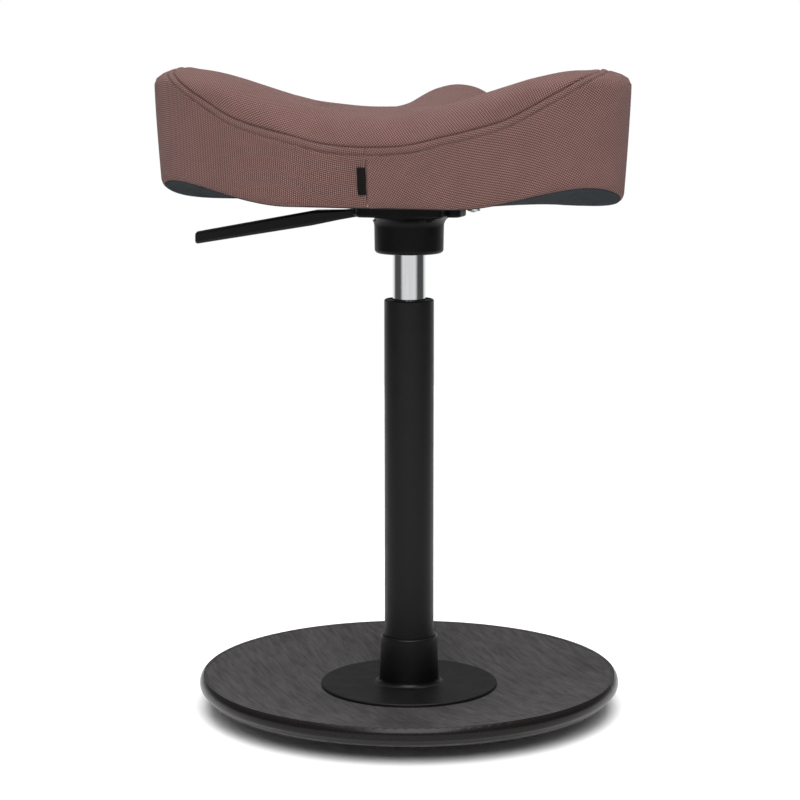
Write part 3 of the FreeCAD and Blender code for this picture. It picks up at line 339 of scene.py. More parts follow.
def shell_height(x, y):
    reach = np.hypot(x / BOWL_X, y / BOWL_Y)
    bowl = BOWL_RISE * smooth((reach - BOWL_FLAT) / (1.0 - BOWL_FLAT))
    across = smooth((np.abs(x) - TUCK_START_X) / TUCK_LENGTH_X)
    rearward = smooth((TUCK_START_Y - y) / TUCK_LENGTH_Y)
    return SHELL_Z + bowl + WING_TUCK * across * rearward


def seam_drop(x):
    rise = smooth((np.abs(x) - SEAM_DROP_START_X) / SEAM_DROP_LENGTH)
    return SEAM_DROP_REAR + (SEAM_DROP_WING - SEAM_DROP_REAR) * rise


def seat_outline(count):
    points = HALF_PLAN + [(-x, y) for x, y in reversed(HALF_PLAN[1:-1])]
    return periodic_spline(points, count)


def wall_point(place, inward, share):
    """Ring on the border: share 0 is the foot of the rolled edge, 1 the hem."""
    xy = place + inward * (BORDER_LEAN * np.asarray(share) ** BORDER_CURVE)[..., None]
    high = top_height(xy[:, 0], xy[:, 1]) - seam_drop(xy[:, 0])
    low = shell_height(xy[:, 0], xy[:, 1])
    return np.column_stack([xy, high + (low - high) * share])


def roll_point(place, inward, angle):
    """Ring on the rolled edge: angle 0 is its foot, 90 the flat top."""
    turn = math.radians(angle)
    xy = place + inward * (ROLL_IN * (1 - math.cos(turn)))
    z = top_height(xy[:, 0], xy[:, 1]) - seam_drop(xy[:, 0]) * (1 - math.sin(turn))
    return np.column_stack([xy, z])


def flat_point(place, inward, share):
    """Ring on the flat top, shrunk toward the middle of the seat."""
    xy = MIDDLE + (place + inward * ROLL_IN - MIDDLE) * share
    return np.column_stack([xy, top_height(xy[:, 0], xy[:, 1])])


def under_point(place, inward, share):
    """Ring on the underside of the shell, shrunk toward the middle of the seat."""
    xy = MIDDLE + (place + inward * BORDER_LEAN - MIDDLE) * share
    return np.column_stack([xy, shell_height(xy[:, 0], xy[:, 1])])


class Section:
    """Outline of the cushion from the hem over the edge to the flat top, at each plan point.

    Places on it are told by their travel in millimetres from the foot of the rolled edge.
    """

    def __init__(self, place, inward):
        shares = np.linspace(1.0, 0.0, WALL_STEPS)
        wall = [wall_point(place, inward, np.full(len(place), share)) for share in shares]
        roll = [roll_point(place, inward, a) for a in np.linspace(ROLL_FIRST_ANGLE, 90.0, ROLL_STEPS)]
        flat = [flat_point(place, inward, s) for s in np.linspace(1.0, FLAT_SHARE, FLAT_STEPS)[1:]]
        self.points = np.stack(wall + roll + flat)
        travel = path_travel(self.points)
        self.travel = travel - travel[len(wall) - 1]
        self.roll_end = self.travel[len(wall) + len(roll) - 1]
        along = np.gradient(self.points, axis=0)
        level = (along[..., :2] * inward[None]).sum(2)
        size = np.hypot(level, along[..., 2])
        sideways = -inward[None] * (along[..., 2] / size)[..., None]
        self.out = np.concatenate([sideways, (level / size)[..., None]], 2)

    def at(self, travel):
        """Places and outward directions at the given travels, one row of travels per ring."""
        places = np.empty(travel.shape + (3,))
        out = np.empty(travel.shape + (3,))
        for c in range(travel.shape[1]):
            for a in range(3):
                places[:, c, a] = np.interp(travel[:, c], self.travel[:, c], self.points[:, c, a])
                out[:, c, a] = np.interp(travel[:, c], self.travel[:, c], self.out[:, c, a])
        return places, out / np.linalg.norm(out, axis=2)[..., None]


def seam_rise(arc, total):
    """Travel of the seam from the foot of the rolled edge, all round the seat."""
    steps = path_travel(np.array(HALF_PLAN))
    from_rear = np.minimum(arc, total - arc) * steps[-1] / (total / 2)
    fine = np.linspace(0.0, steps[-1], SEAM_SAMPLES)
    value = np.interp(fine, steps, SEAM_RISE)
    ends = SEAM_BLUR_SAMPLES
    reach = np.exp(-(np.arange(-ends, ends + 1) / SEAM_BLUR) ** 2)
    padded = np.concatenate([value[ends:0:-1], value, value[-2:-ends - 2:-1]])
    value = np.convolve(padded, reach / reach.sum(), mode="valid")
    return np.interp(from_rear, fine, value)


# Mesh helpers

def new_object(name, verts, faces, uv=None, smooth_shade=True):
    mesh = bpy.data.meshes.new(name)
    mesh.from_pydata([tuple(v) for v in verts], [], [tuple(f) for f in faces])
    mesh.update()
    if uv is not None:
        layer = mesh.uv_layers.new(name="cloth")
        index = np.empty(len(mesh.loops), np.int32)
        mesh.loops.foreach_get("vertex_index", index)
        layer.data.foreach_set("uv", np.asarray(uv, np.float32)[index].ravel())
    if smooth_shade:
        mesh.polygons.foreach_set("use_smooth", [True] * len(mesh.polygons))
    obj = bpy.data.objects.new(name, mesh)
    bpy.context.scene.collection.objects.link(obj)
    return obj


def mesh_points(mesh):
    points = np.empty(len(mesh.vertices) * 3)
    mesh.vertices.foreach_get("co", points)
    return points.reshape(-1, 3)


def grid_faces(rows, columns, wrap, first=0):
    """Quads between rows of points, the last column joined to the first when wrap is set."""
    faces = []
    last = columns if wrap else columns - 1
    for r in range(rows - 1):
        low = first + r * columns
        high = low + columns
        for c in range(last):
            d = (c + 1) % columns
            faces.append((low + c, low + d, high + d, high + c))
    return faces


def add_rings(travel, end, count):
    """Adds evenly spread rings to a list of travels, from its last ring to the end."""
    start = travel[-1]
    for share in np.linspace(0.0, 1.0, count)[1:]:
        travel.append(start * (1 - share) + end * share)


def fade_rows(count, first, rise, fall, last):
    """Strength of the ripple on each ring: up to full over some rings, then down to its last value."""
    up = np.linspace(first, 1.0, rise)
    down = np.linspace(1.0, last, fall)
    return np.concatenate([up, down, np.full(count - rise - fall, last)])


# Cloth simulation of the cushion

class Puff:
    """Movement of the simulated cushion, read at any point near it."""

    def __init__(self, places, moves):
        self.moves = moves
        self.tree = point_tree(places)

    def at(self, points):
        result = np.zeros_like(points)
        for i, point in enumerate(points):
            near = self.tree.find_n(Vector(point), PUFF_NEIGHBOURS)
            weights = np.array([1.0 / (distance + PUFF_SOFTEN) ** 2 for _, _, distance in near])
            index = [n for _, n, _ in near]
            result[i] = (self.moves[index] * weights[:, None]).sum(0) / weights.sum()
        return result


def cushion_body(place, inward):
    """Closed coarse copy of the cushion, remeshed to even faces."""
    count = len(place)
    rings = [under_point(place, inward, share) for share in SIM_UNDER_SHARES]
    rings += [wall_point(place, inward, np.full(count, share)) for share in SIM_WALL_SHARES]
    rings += [roll_point(place, inward, angle) for angle in SIM_ROLL_ANGLES]
    rings += [flat_point(place, inward, share) for share in SIM_TOP_SHARES]
    faces = grid_faces(len(rings), count, True)
    faces.append(tuple(reversed(range(count))))
    faces.append(tuple((len(rings) - 1) * count + c for c in range(count)))
    body = new_object("cushion_sim", np.vstack(rings) * MM, faces)
    remesh = body.modifiers.new("remesh", "REMESH")
    remesh.mode = "VOXEL"
    remesh.voxel_size = SIM_VOXEL
    bpy.context.view_layer.update()
    graph = bpy.context.evaluated_depsgraph_get()
    fine = bpy.data.meshes.new_from_object(body.evaluated_get(graph))
    body.modifiers.clear()
    body.data = fine
    return body


def hold_cushion(body, points, seam):
    """Holds the points near the seam and those near the underside, and names their group."""
    held = body.vertex_groups.new(name="held")
    tree = point_tree(seam * MM)
    low = shell_height(points[:, 0] / MM, points[:, 1] / MM) * MM
    for i, point in enumerate(points):
        distance = tree.find(Vector(point))[2]
        if distance < SIM_HOLD_SEAM or point[2] < low[i] + SIM_HOLD_LOW:
            held.add([i], 1.0, "REPLACE")
    return held.name


def blow_up(body, held_name):
    """Runs the cloth with air pressure inside and gives its points on the last frame."""
    cloth = body.modifiers.new("cloth", "CLOTH")
    settings = cloth.settings
    settings.use_pressure = True
    settings.uniform_pressure_force = SIM_PRESSURE
    settings.vertex_group_mass = held_name
    settings.tension_stiffness = SIM_STRETCH
    settings.compression_stiffness = SIM_STRETCH
    settings.bending_stiffness = SIM_BEND
    settings.effector_weights.gravity = 0.0
    cloth.point_cache.frame_start = 1
    cloth.point_cache.frame_end = SIM_FRAMES
    for step in range(1, SIM_FRAMES + 1):
        bpy.context.scene.frame_set(step)
    graph = bpy.context.evaluated_depsgraph_get()
    return mesh_points(body.evaluated_get(graph).to_mesh())


def simulate_cushion():
    """Blows up a coarse copy of the cushion under cloth, with seam and underside held."""
    place, inward, arc, total = seat_outline(SIM_COLUMNS)
    body = cushion_body(place, inward)
    before = mesh_points(body.data)
    seam = Section(place, inward).at(seam_rise(arc, total)[None])[0][0]
    after = blow_up(body, hold_cushion(body, before, seam))
    bpy.data.objects.remove(body, do_unlink=True)
    bpy.context.scene.frame_set(1)
    moves = (after - before) / MM
    size = np.linalg.norm(moves, axis=1)
    moves *= (np.minimum(size, PUFF_LIMIT) / np.maximum(size, TINY))[:, None]
    return Puff(before / MM, moves)


def puff_field():
    return simulate_cushion()


def puffed(stack, puff):
    """Rings moved with the simulated cushion, or left where they are without one."""
    if puff is None:
        return stack
    points = stack.reshape(-1, 3)
    return (points + puff.at(points)).reshape(stack.shape)


# Material helpers

def material(name):
    mat = bpy.data.materials.new(name)
    mat.use_nodes = True
    tree = mat.node_tree
    tree.nodes.clear()
    out = tree.nodes.new("ShaderNodeOutputMaterial")
    shader = tree.nodes.new("ShaderNodeBsdfPrincipled")
    tree.links.new(shader.outputs[0], out.inputs[0])
    return mat, tree, shader


def node(tree, kind, **values):
    n = tree.nodes.new(kind)
    for key, value in values.items():
        setattr(n, key, value)
    return n


def set_inputs(n, values):
    for name, value in values.items():
        n.inputs[name].default_value = value


def math_node(tree, operation, a, b=None, clamp=False):
    n = node(tree, "ShaderNodeMath", operation=operation, use_clamp=clamp)
    for i, value in enumerate((a, b)):
        if value is None:
            continue
        if isinstance(value, (int, float)):
            n.inputs[i].default_value = value
        else:
            tree.links.new(value, n.inputs[i])
    return n.outputs[0]


def times(tree, a, b, clamp=False):
    return math_node(tree, "MULTIPLY", a, b, clamp)


def plus(tree, a, b):
    return math_node(tree, "ADD", a, b)


def minus(tree, a, b):
    return math_node(tree, "SUBTRACT", a, b)


def as_share(tree, value):
    """Turns a value between -1 and 1 into one between 0 and 1."""
    return plus(tree, times(tree, value, 0.5), 0.5)


def split_axes(tree, vector):
    n = node(tree, "ShaderNodeSeparateXYZ")
    tree.links.new(vector, n.inputs[0])
    return n.outputs


def reach_from_axis(tree, coords):
    """Distance from the upright axis of the stool."""
    axes = split_axes(tree, coords)
    square_x = times(tree, axes[0], axes[0])
    square_y = times(tree, axes[1], axes[1])
    return math_node(tree, "SQRT", plus(tree, square_x, square_y))


def noise(tree, vector, scale, detail=4.0, roughness=0.55, distortion=0.0):
    n = node(tree, "ShaderNodeTexNoise")
    set_inputs(n, {"Scale": scale, "Detail": detail, "Roughness": roughness, "Distortion": distortion})
    tree.links.new(vector, n.inputs["Vector"])
    return n.outputs["Fac"]


def bands(tree, coords, axis, scale):
    n = node(tree, "ShaderNodeTexWave", wave_type="BANDS", bands_direction=axis)
    n.inputs["Scale"].default_value = scale
    tree.links.new(coords, n.inputs["Vector"])
    return n.outputs["Fac"]


def ramp(tree, value, stops):
    n = node(tree, "ShaderNodeValToRGB")
    elements = n.color_ramp.elements
    while len(elements) < len(stops):
        elements.new(0.5)
    for element, (place, color) in zip(elements, stops):
        element.position = place
        element.color = (*color, 1.0)
    tree.links.new(value, n.inputs[0])
    return n.outputs[0]


def grey(level):
    return (level, level, level)


def scaled(color, factor):
    return tuple(part * factor for part in color)


def two_tone(tree, value, low, high):
    """Ramp between two colours over the middle part of a noise."""
    return ramp(tree, value, [(RAMP_LOW, low), (RAMP_HIGH, high)])


def mapping(tree, vector, scale=(1, 1, 1), rotation=(0, 0, 0)):
    n = node(tree, "ShaderNodeMapping")
    set_inputs(n, {"Scale": scale, "Rotation": rotation})
    tree.links.new(vector, n.inputs["Vector"])
    return n.outputs[0]


def object_coords(tree):
    return node(tree, "ShaderNodeTexCoord").outputs["Object"]


def bump(tree, shader, height, distance, strength):
    n = node(tree, "ShaderNodeBump")
    set_inputs(n, {"Distance": distance, "Strength": strength})
    tree.links.new(height, n.inputs["Height"])
    tree.links.new(n.outputs[0], shader.inputs["Normal"])


def mix_color(tree, factor, a, b, blend="MIX"):
    n = node(tree, "ShaderNodeMix", data_type="RGBA", blend_type=blend)
    for socket, value in ((n.inputs[0], factor), (n.inputs[6], a), (n.inputs[7], b)):
        if isinstance(value, (int, float)):
            socket.default_value = value
        elif isinstance(value, tuple):
            socket.default_value = (*value, 1.0)
        else:
            tree.links.new(value, socket)
    return n.outputs[2]


def shaded(tree, color, veil, factor=1.0):
    """Colour darkened or lightened by a veil."""
    return mix_color(tree, factor, color, veil, "MULTIPLY")


# Materials

def fabric(name, angle):
    """Basket weave of two yarns, turned by an angle, with mottling and a soft nap."""
    mat, tree, shader = material(name)
    uv = node(tree, "ShaderNodeUVMap", uv_map="cloth").outputs[0]
    axes = split_axes(tree, mapping(tree, uv, rotation=(0, 0, math.radians(angle))))
    wander = noise(tree, uv, scale=0.35, detail=2.0)
    drift = times(tree, minus(tree, wander, 0.5), 0.5)
    waves = []
    for axis in (0, 1):
        phase = times(tree, plus(tree, axes[axis], drift), math.pi / WEAVE_PITCH)
        waves.append(math_node(tree, "SINE", phase))
    product = times(tree, waves[0], waves[1])
    crown = math_node(tree, "POWER", math_node(tree, "ABSOLUTE", product), 0.5)
    yarn = ramp(tree, as_share(tree, product), [(0.34, DARK_YARN), (0.60, LIGHT_YARN)])
    gap_shade = ramp(tree, crown, [(0.0, (0.30, 0.28, 0.28)), (0.70, WHITE)])
    mottle = noise(tree, uv, scale=1.1, detail=3.0)
    fleck = ramp(tree, mottle, [(0.30, (0.80, 0.79, 0.79)), (0.72, (1.16, 1.15, 1.14))])
    patches = noise(tree, uv, scale=0.03, detail=3.0)
    cloud = two_tone(tree, patches, grey(0.94), grey(1.05))
    color = yarn
    for veil in (gap_shade, fleck, cloud):
        color = shaded(tree, color, veil)
    tree.links.new(color, shader.inputs["Base Color"])
    set_inputs(shader, {"Roughness": 0.95, "Specular IOR Level": 0.15, "Sheen Weight": 0.10,
                        "Sheen Roughness": 0.5, "Sheen Tint": (0.9, 0.72, 0.7, 1.0)})
    height = plus(tree, crown, times(tree, mottle, 0.35))
    bump(tree, shader, height, distance=0.0005, strength=0.8)
    return mat


def stained_wood():
    """Open-pored wood stained black, darker and glossier on its rounded edge."""
    mat, tree, shader = material("stained_wood")
    coords = object_coords(tree)
    turned = mapping(tree, coords, rotation=(0, 0, WOOD_TURN))
    broad = noise(tree, mapping(tree, turned, scale=(1.0, 0.28, 1.0)), 14.0, 5.0, 0.6, distortion=1.0)
    streak = noise(tree, mapping(tree, turned, scale=(1.0, 0.10, 1.0)), 210.0, 5.0, 0.6, distortion=0.4)
    pore = noise(tree, mapping(tree, turned, scale=(1.0, 0.06, 1.0)), 620.0, 3.0, 0.6)

    figure = ramp(tree, broad, [(0.30, (0.034, 0.032, 0.033)), (0.55, (0.052, 0.049, 0.050)),
                                (0.78, (0.042, 0.039, 0.040))])
    lines = ramp(tree, streak, [(0.32, grey(0.66)), (0.52, WHITE), (0.74, (1.22, 1.20, 1.19))])
    pores = ramp(tree, pore, [(0.36, grey(0.55)), (0.48, WHITE)])
    face = shaded(tree, figure, lines)
    face = shaded(tree, face, pores, 0.7)

    past_edge = minus(tree, reach_from_axis(tree, coords), EDGE_STAIN_R * MM)
    edge = times(tree, past_edge, EDGE_STAIN_SHARPNESS, clamp=True)
    edge_tone = two_tone(tree, pore, (0.0040, 0.0030, 0.0031), (0.0075, 0.0058, 0.0058))
    tree.links.new(mix_color(tree, edge, face, edge_tone), shader.inputs["Base Color"])
    face_rough = two_tone(tree, streak, grey(0.62), grey(0.50))
    tree.links.new(mix_color(tree, edge, face_rough, grey(0.26)), shader.inputs["Roughness"])
    shader.inputs["Specular IOR Level"].default_value = 0.16

    height = plus(tree, times(tree, pore, 0.6), times(tree, streak, 0.5))
    fade = minus(tree, 1.0, times(tree, edge, 0.7))
    bump(tree, shader, times(tree, height, fade), distance=0.00016, strength=0.5)
    return mat


def coated_metal(name, color, roughness, gloss):
    """Powder coat with a fine orange-peel and faint handling marks."""
    mat, tree, shader = material(name)
    coords = object_coords(tree)
    peel = noise(tree, coords, scale=900.0, detail=3.0)
    marks = noise(tree, coords, scale=45.0, detail=5.0, roughness=0.6)
    tone = two_tone(tree, marks, scaled(color, 0.85), scaled(color, 1.15))
    spread = two_tone(tree, marks, grey(roughness - 0.05), grey(roughness + 0.06))
    tree.links.new(tone, shader.inputs["Base Color"])
    tree.links.new(spread, shader.inputs["Roughness"])
    shader.inputs["Specular IOR Level"].default_value = gloss
    bump(tree, shader, peel, distance=0.00006, strength=0.5)
    return mat


def bare_metal(name, color, roughness, scale=600.0):
    """Ground or plated metal with fine drawn lines."""
    mat, tree, shader = material(name)
    lines = noise(tree, mapping(tree, object_coords(tree), scale=(1, 1, 0.05)), scale)
    tone = two_tone(tree, lines, scaled(color, 0.9), color)
    spread = two_tone(tree, lines, grey(roughness * 0.8), grey(roughness * 1.25))
    tree.links.new(tone, shader.inputs["Base Color"])
    tree.links.new(spread, shader.inputs["Roughness"])
    shader.inputs["Metallic"].default_value = 1.0
    bump(tree, shader, lines, distance=0.00002, strength=0.4)
    return mat


def moulded(name, color, roughness, grain=1400.0, gloss=0.3):
    """Moulded plastic or rubber with a spark-eroded grain."""
    mat, tree, shader = material(name)
    coords = object_coords(tree)
    pits = noise(tree, coords, grain, detail=2.0)
    wear = noise(tree, coords, scale=60.0)
    tone = two_tone(tree, wear, scaled(color, 0.88), scaled(color, 1.12))
    spread = two_tone(tree, pits, grey(roughness - 0.04), grey(roughness + 0.05))
    tree.links.new(tone, shader.inputs["Base Color"])
    tree.links.new(spread, shader.inputs["Roughness"])
    shader.inputs["Specular IOR Level"].default_value = gloss
    bump(tree, shader, pits, distance=0.00008, strength=0.5)
    return mat


def felt(name, color):
    """Felted lining cloth with short matted fibres."""
    mat, tree, shader = material(name)
    coords = object_coords(tree)
    fibre = noise(tree, coords, scale=1500.0, detail=3.0, roughness=0.7, distortion=1.5)
    tone = two_tone(tree, fibre, scaled(color, 0.75), scaled(color, 1.25))
    veil = two_tone(tree, noise(tree, coords, scale=90.0), grey(0.93), grey(1.06))
    tree.links.new(shaded(tree, tone, veil), shader.inputs["Base Color"])
    set_inputs(shader, {"Roughness": 0.95, "Specular IOR Level": 0.05})
    bump(tree, shader, fibre, distance=0.0003, strength=0.6)
    return mat


def plywood():
    """Shell of pale and darker plies, with a grain."""
    mat, tree, shader = material("plywood")
    coords = object_coords(tree)
    plies = bands(tree, coords, "Z", 180.0)
    color = ramp(tree, plies, [(0.2, (0.36, 0.24, 0.14)), (0.8, (0.55, 0.41, 0.26))])
    grain = noise(tree, mapping(tree, coords, scale=(0.06, 1, 1)), scale=220.0, detail=5.0)
    veil = two_tone(tree, grain, grey(0.8), grey(1.1))
    tree.links.new(shaded(tree, color, veil), shader.inputs["Base Color"])
    shader.inputs["Roughness"].default_value = 0.6
    bump(tree, shader, grain, distance=0.0002, strength=0.5)
    return mat


def foam_material():
    """Open-celled foam."""
    mat, tree, shader = material("foam")
    cells = node(tree, "ShaderNodeTexVoronoi")
    cells.inputs["Scale"].default_value = 900.0
    tree.links.new(object_coords(tree), cells.inputs["Vector"])
    depth = cells.outputs["Distance"]
    color = ramp(tree, depth, [(0.0, (0.50, 0.46, 0.34)), (0.6, (0.74, 0.70, 0.56))])
    tree.links.new(color, shader.inputs["Base Color"])
    shader.inputs["Roughness"].default_value = 0.95
    bump(tree, shader, depth, distance=0.0006, strength=0.6)
    return mat


def thread_material():
    """Twisted sewing thread."""
    mat, tree, shader = material("thread")
    twist = bands(tree, object_coords(tree), "DIAGONAL", 500.0)
    color = ramp(tree, twist, [(0.2, (0.060, 0.034, 0.031)), (0.8, (0.13, 0.078, 0.072))])
    tree.links.new(color, shader.inputs["Base Color"])
    shader.inputs["Roughness"].default_value = 0.7
    bump(tree, shader, twist, distance=0.0001, strength=0.5)
    return mat


def ribbon_material():
    """Black ribbed ribbon."""
    mat, tree, shader = material("ribbon")
    rib = bands(tree, object_coords(tree), "Z", 420.0)
    color = ramp(tree, rib, [(0.2, grey(0.002)), (0.8, (0.006, 0.006, 0.005))])
    tree.links.new(color, shader.inputs["Base Color"])
    set_inputs(shader, {"Roughness": 0.8, "Specular IOR Level": 0.08})
    bump(tree, shader, rib, distance=0.00015, strength=0.6)
    return mat


def paint(node_names, mat):
    for name in node_names:
        obj = NODES[name]
        obj.data.materials.clear()
        obj.data.materials.append(mat)


def dress_frame():
    """Materials of the CAD nodes."""
    paint(["footplate"], stained_wood())
    paint(["column_tube"], coated_metal("tube_coat", (0.0032, 0.0032, 0.0034), 0.36, 0.15))
    paint(["flange_plate"], coated_metal("flange_coat", (0.0036, 0.0036, 0.0038), 0.50, 0.18))
    paint(["column_socket"], coated_metal("socket_coat", (0.0022, 0.0022, 0.0024), 0.32, 0.16))
    paint(["mechanism_housing"], coated_metal("housing_coat", (0.0018, 0.0018, 0.0020), 0.40, 0.10))
    paint(["lever"], moulded("lever_plastic", (0.0024, 0.0024, 0.0026), 0.42, gloss=0.16))
    paint(["guide_bush"], moulded("bush_plastic", grey(0.004), 0.5, gloss=0.2))
    paint(["anti_slip_ring", "bumper", "piston_seal"], moulded("rubber", grey(0.014), 0.8, 900.0))
    paint(["gas_cylinder"], bare_metal("chrome", (0.82, 0.83, 0.85), 0.07, scale=300.0))
    zinc = bare_metal("zinc", (0.72, 0.73, 0.75), 0.3)
    paint(["seat_screws", "seat_washers", "tee_nuts", "base_screws"], zinc)
    steel = bare_metal("steel", (0.5, 0.5, 0.52), 0.28)
    paint(["tube_floor", "lower_washer", "ball_cage", "upper_washer", "piston_rod", "rod_clip", "lever_pin",
           "pin_clips", "release_button"], steel)
    alloy = bare_metal("alloy", (0.6, 0.6, 0.61), 0.4)
    paint(["piston", "valve_body", "rod_guide"], alloy)
    paint(["seat_shell"], plywood())
    paint(["foam_pad"], foam_material())


# Seat cover pieces

def make_top_panel(puff, mat):
    """Top panel, from its edge folded into the seam to the middle of the seat."""
    place, inward, arc, total = seat_outline(TOP_COLUMNS)
    section = Section(place, inward)
    seam = seam_rise(arc, total)
    travel = [seam + step for step, _ in TOP_EDGE]
    travel[0] = seam - SEAM_LAP
    add_rings(travel, section.travel[-1], TOP_EDGE_ROWS)
    travel = np.array(travel)
    edge, out = section.at(travel)
    shares = np.linspace(FLAT_SHARE, TOP_LAST_SHARE, TOP_FLAT_ROWS)[1:]
    flat = np.stack([flat_point(place, inward, share) for share in shares])
    stack = puffed(np.concatenate([edge, flat]), puff)
    out = np.concatenate([out, np.broadcast_to([0.0, 0.0, 1.0], flat.shape)])

    # On the rolled edge the cloth is unrolled, so that the weave keeps its pitch
    unrolled = (place + inward * ROLL_IN)[None] - inward[None] * (section.roll_end - travel)[..., None]
    cloth = np.where((travel < section.roll_end)[..., None], unrolled, edge[..., :2])
    cloth = np.concatenate([cloth[:1], cloth, flat[..., :2]]).reshape(-1, 2)
    cloth = np.vstack([cloth, MIDDLE])

    lift = np.zeros(len(stack))
    lift[:len(TOP_EDGE)] = [height for _, height in TOP_EDGE]
    wave = ripple(arc, total, TOP_SEED, TOP_WAVES)
    fade = fade_rows(len(stack), first=0.2, rise=8, fall=16, last=0.0)
    stack = stack + out * (lift[:, None] + wave[None, :] * fade[:, None])[..., None]
    turned_in = np.column_stack([inward * TOP_FOLD, np.full(len(place), -TOP_FOLD_DROP)])
    fold = stack[0] - out[0] * TOP_FOLD + turned_in
    stack = np.concatenate([fold[None], stack])

    columns = len(place)
    faces = grid_faces(len(stack), columns, True)
    verts = np.vstack([stack.reshape(-1, 3), stack[-1].mean(0)])
    last_ring = (len(stack) - 1) * columns
    for c in range(columns):
        faces.append((last_ring + c, last_ring + (c + 1) % columns, len(verts) - 1))
    obj = new_object("cover_top_panel", verts * MM, faces, cloth)
    obj.data.materials.append(mat)
    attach(obj, "seat")
    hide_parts("cover_top")


def border_hem(place, inward):
    """Rings of the turned hem with their outward directions: a round corner, then a flat lip."""
    level = np.column_stack([-inward, np.zeros(len(inward))])
    down = np.array([0.0, 0.0, -1.0])
    rings, out = [], []
    for angle in HEM_ANGLES:
        turn = math.radians(angle)
        xy = place + inward * (BORDER_LEAN + HEM_ROUND * (1 - math.cos(turn)))
        z = shell_height(xy[:, 0], xy[:, 1]) + HEM_ROUND * (1 - math.sin(turn)) - HEM_DROP * math.sin(turn)
        rings.append(np.column_stack([xy, z]))
        out.append(level * math.cos(turn) + down * math.sin(turn))
    for step in HEM_LIP_STEPS:
        xy = place + inward * (BORDER_LEAN + HEM_ROUND + step)
        rings.append(np.column_stack([xy, shell_height(xy[:, 0], xy[:, 1]) - HEM_DROP]))
        out.append(np.broadcast_to(down, rings[-1].shape))
    return np.stack(rings), np.stack(out)


def upright_seams(length, rows):
    """Dip of a border at its two upright seams with a swell beside each, full from the third row."""
    edge = np.minimum(length, length[-1] - length)
    dip = -UPRIGHT_DIP * np.exp(-(edge / UPRIGHT_DIP_WIDTH) ** 2)
    swell = UPRIGHT_SWELL * np.exp(-((edge - UPRIGHT_SWELL_AT) / UPRIGHT_SWELL_WIDTH) ** 2)
    below = np.clip((np.arange(rows) - 1) / 2.0, 0.0, 1.0)
    return below[:, None] * (dip + swell)[None]


def make_border_panel(side, puff, mat):
    """Border of one side, from the rear seam to the nose seam, with its turned hem."""
    place, inward, arc, total = seat_outline(BORDER_COLUMNS)
    half = len(place) // 2
    index = np.arange(0, half + 1) if side > 0 else np.arange(half, len(place) + 1) % len(place)
    place, inward = place[index], inward[index]
    length = path_travel(place)
    section = Section(place, inward)
    seam = seam_rise(arc, total)[index]
    travel = [seam - step for step, _ in BORDER_BAND]
    travel[0] = seam + SEAM_LAP
    add_rings(travel, section.travel[0] + HEM_ROUND, BORDER_ROWS)
    stack, out = section.at(np.array(travel))
    hem, hem_out = border_hem(place, inward)
    stack = puffed(np.concatenate([stack, hem]), puff)
    out = np.concatenate([out, hem_out])

    rows = len(stack)
    lift = np.zeros(rows)
    lift[:len(BORDER_BAND)] = [height for _, height in BORDER_BAND]
    stack = stack + out * lift[:, None, None]
    wave = ripple(length, total, BORDER_SEED + side, BORDER_WAVES)
    fade = fade_rows(rows, first=0.3, rise=10, fall=14, last=0.25)
    stack = stack + out * (wave[None, :] * fade[:, None])[..., None]
    level = np.column_stack([-inward, np.zeros(len(inward))])
    stack = stack + level[None] * upright_seams(length, rows)[..., None]

    down = path_travel(stack)
    uv = np.stack([np.broadcast_to(length, down.shape), down - seam], -1).reshape(-1, 2)
    name = "border_panel_right" if side > 0 else "border_panel_left"
    obj = new_object(name, stack.reshape(-1, 3) * MM, grid_faces(rows, len(index), False), uv)
    obj.data.materials.append(mat)
    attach(obj, "seat")
    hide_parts("border_right" if side > 0 else "border_left")


def opening_reach(turns):
    """Distance from the axis to the opening of the underside cover, in each direction."""
    plate = np.array([vertex.co[:2] for vertex in NODES["underside_cover"].data.vertices]) / MM
    reach = np.hypot(plate[:, 0], plate[:, 1])
    angles = np.arctan2(plate[:, 1], plate[:, 0])
    inner = np.empty(len(turns))
    for i, turn in enumerate(turns):
        off = np.abs(np.angle(np.exp(1j * (angles - turn))))
        inner[i] = reach[off < LINING_SWEEP].min()
    return np.minimum(inner, LINING_REACH)


def lining_drop(xy, travel):
    """How far the lining hangs under the shell, at a travel in from its outer edge."""
    step = smooth((travel - LINING_STEP_AT) / LINING_STEP_LENGTH)
    drop = LINING_LAP * (1 - step) + LINING_DROP * step
    seam_off = xy @ np.array([math.cos(LINING_SEAM_TURN), math.sin(LINING_SEAM_TURN)]) - LINING_SEAM_AT
    drop = drop - LINING_SEAM_DEPTH * np.exp(-(seam_off / LINING_SEAM_WIDTH) ** 2)
    sway = LINING_SLACK_SWAY * np.sin(xy[:, 1] / LINING_SLACK_Y)
    return drop + LINING_SLACK * np.sin(xy[:, 0] / LINING_SLACK_X + sway) * step


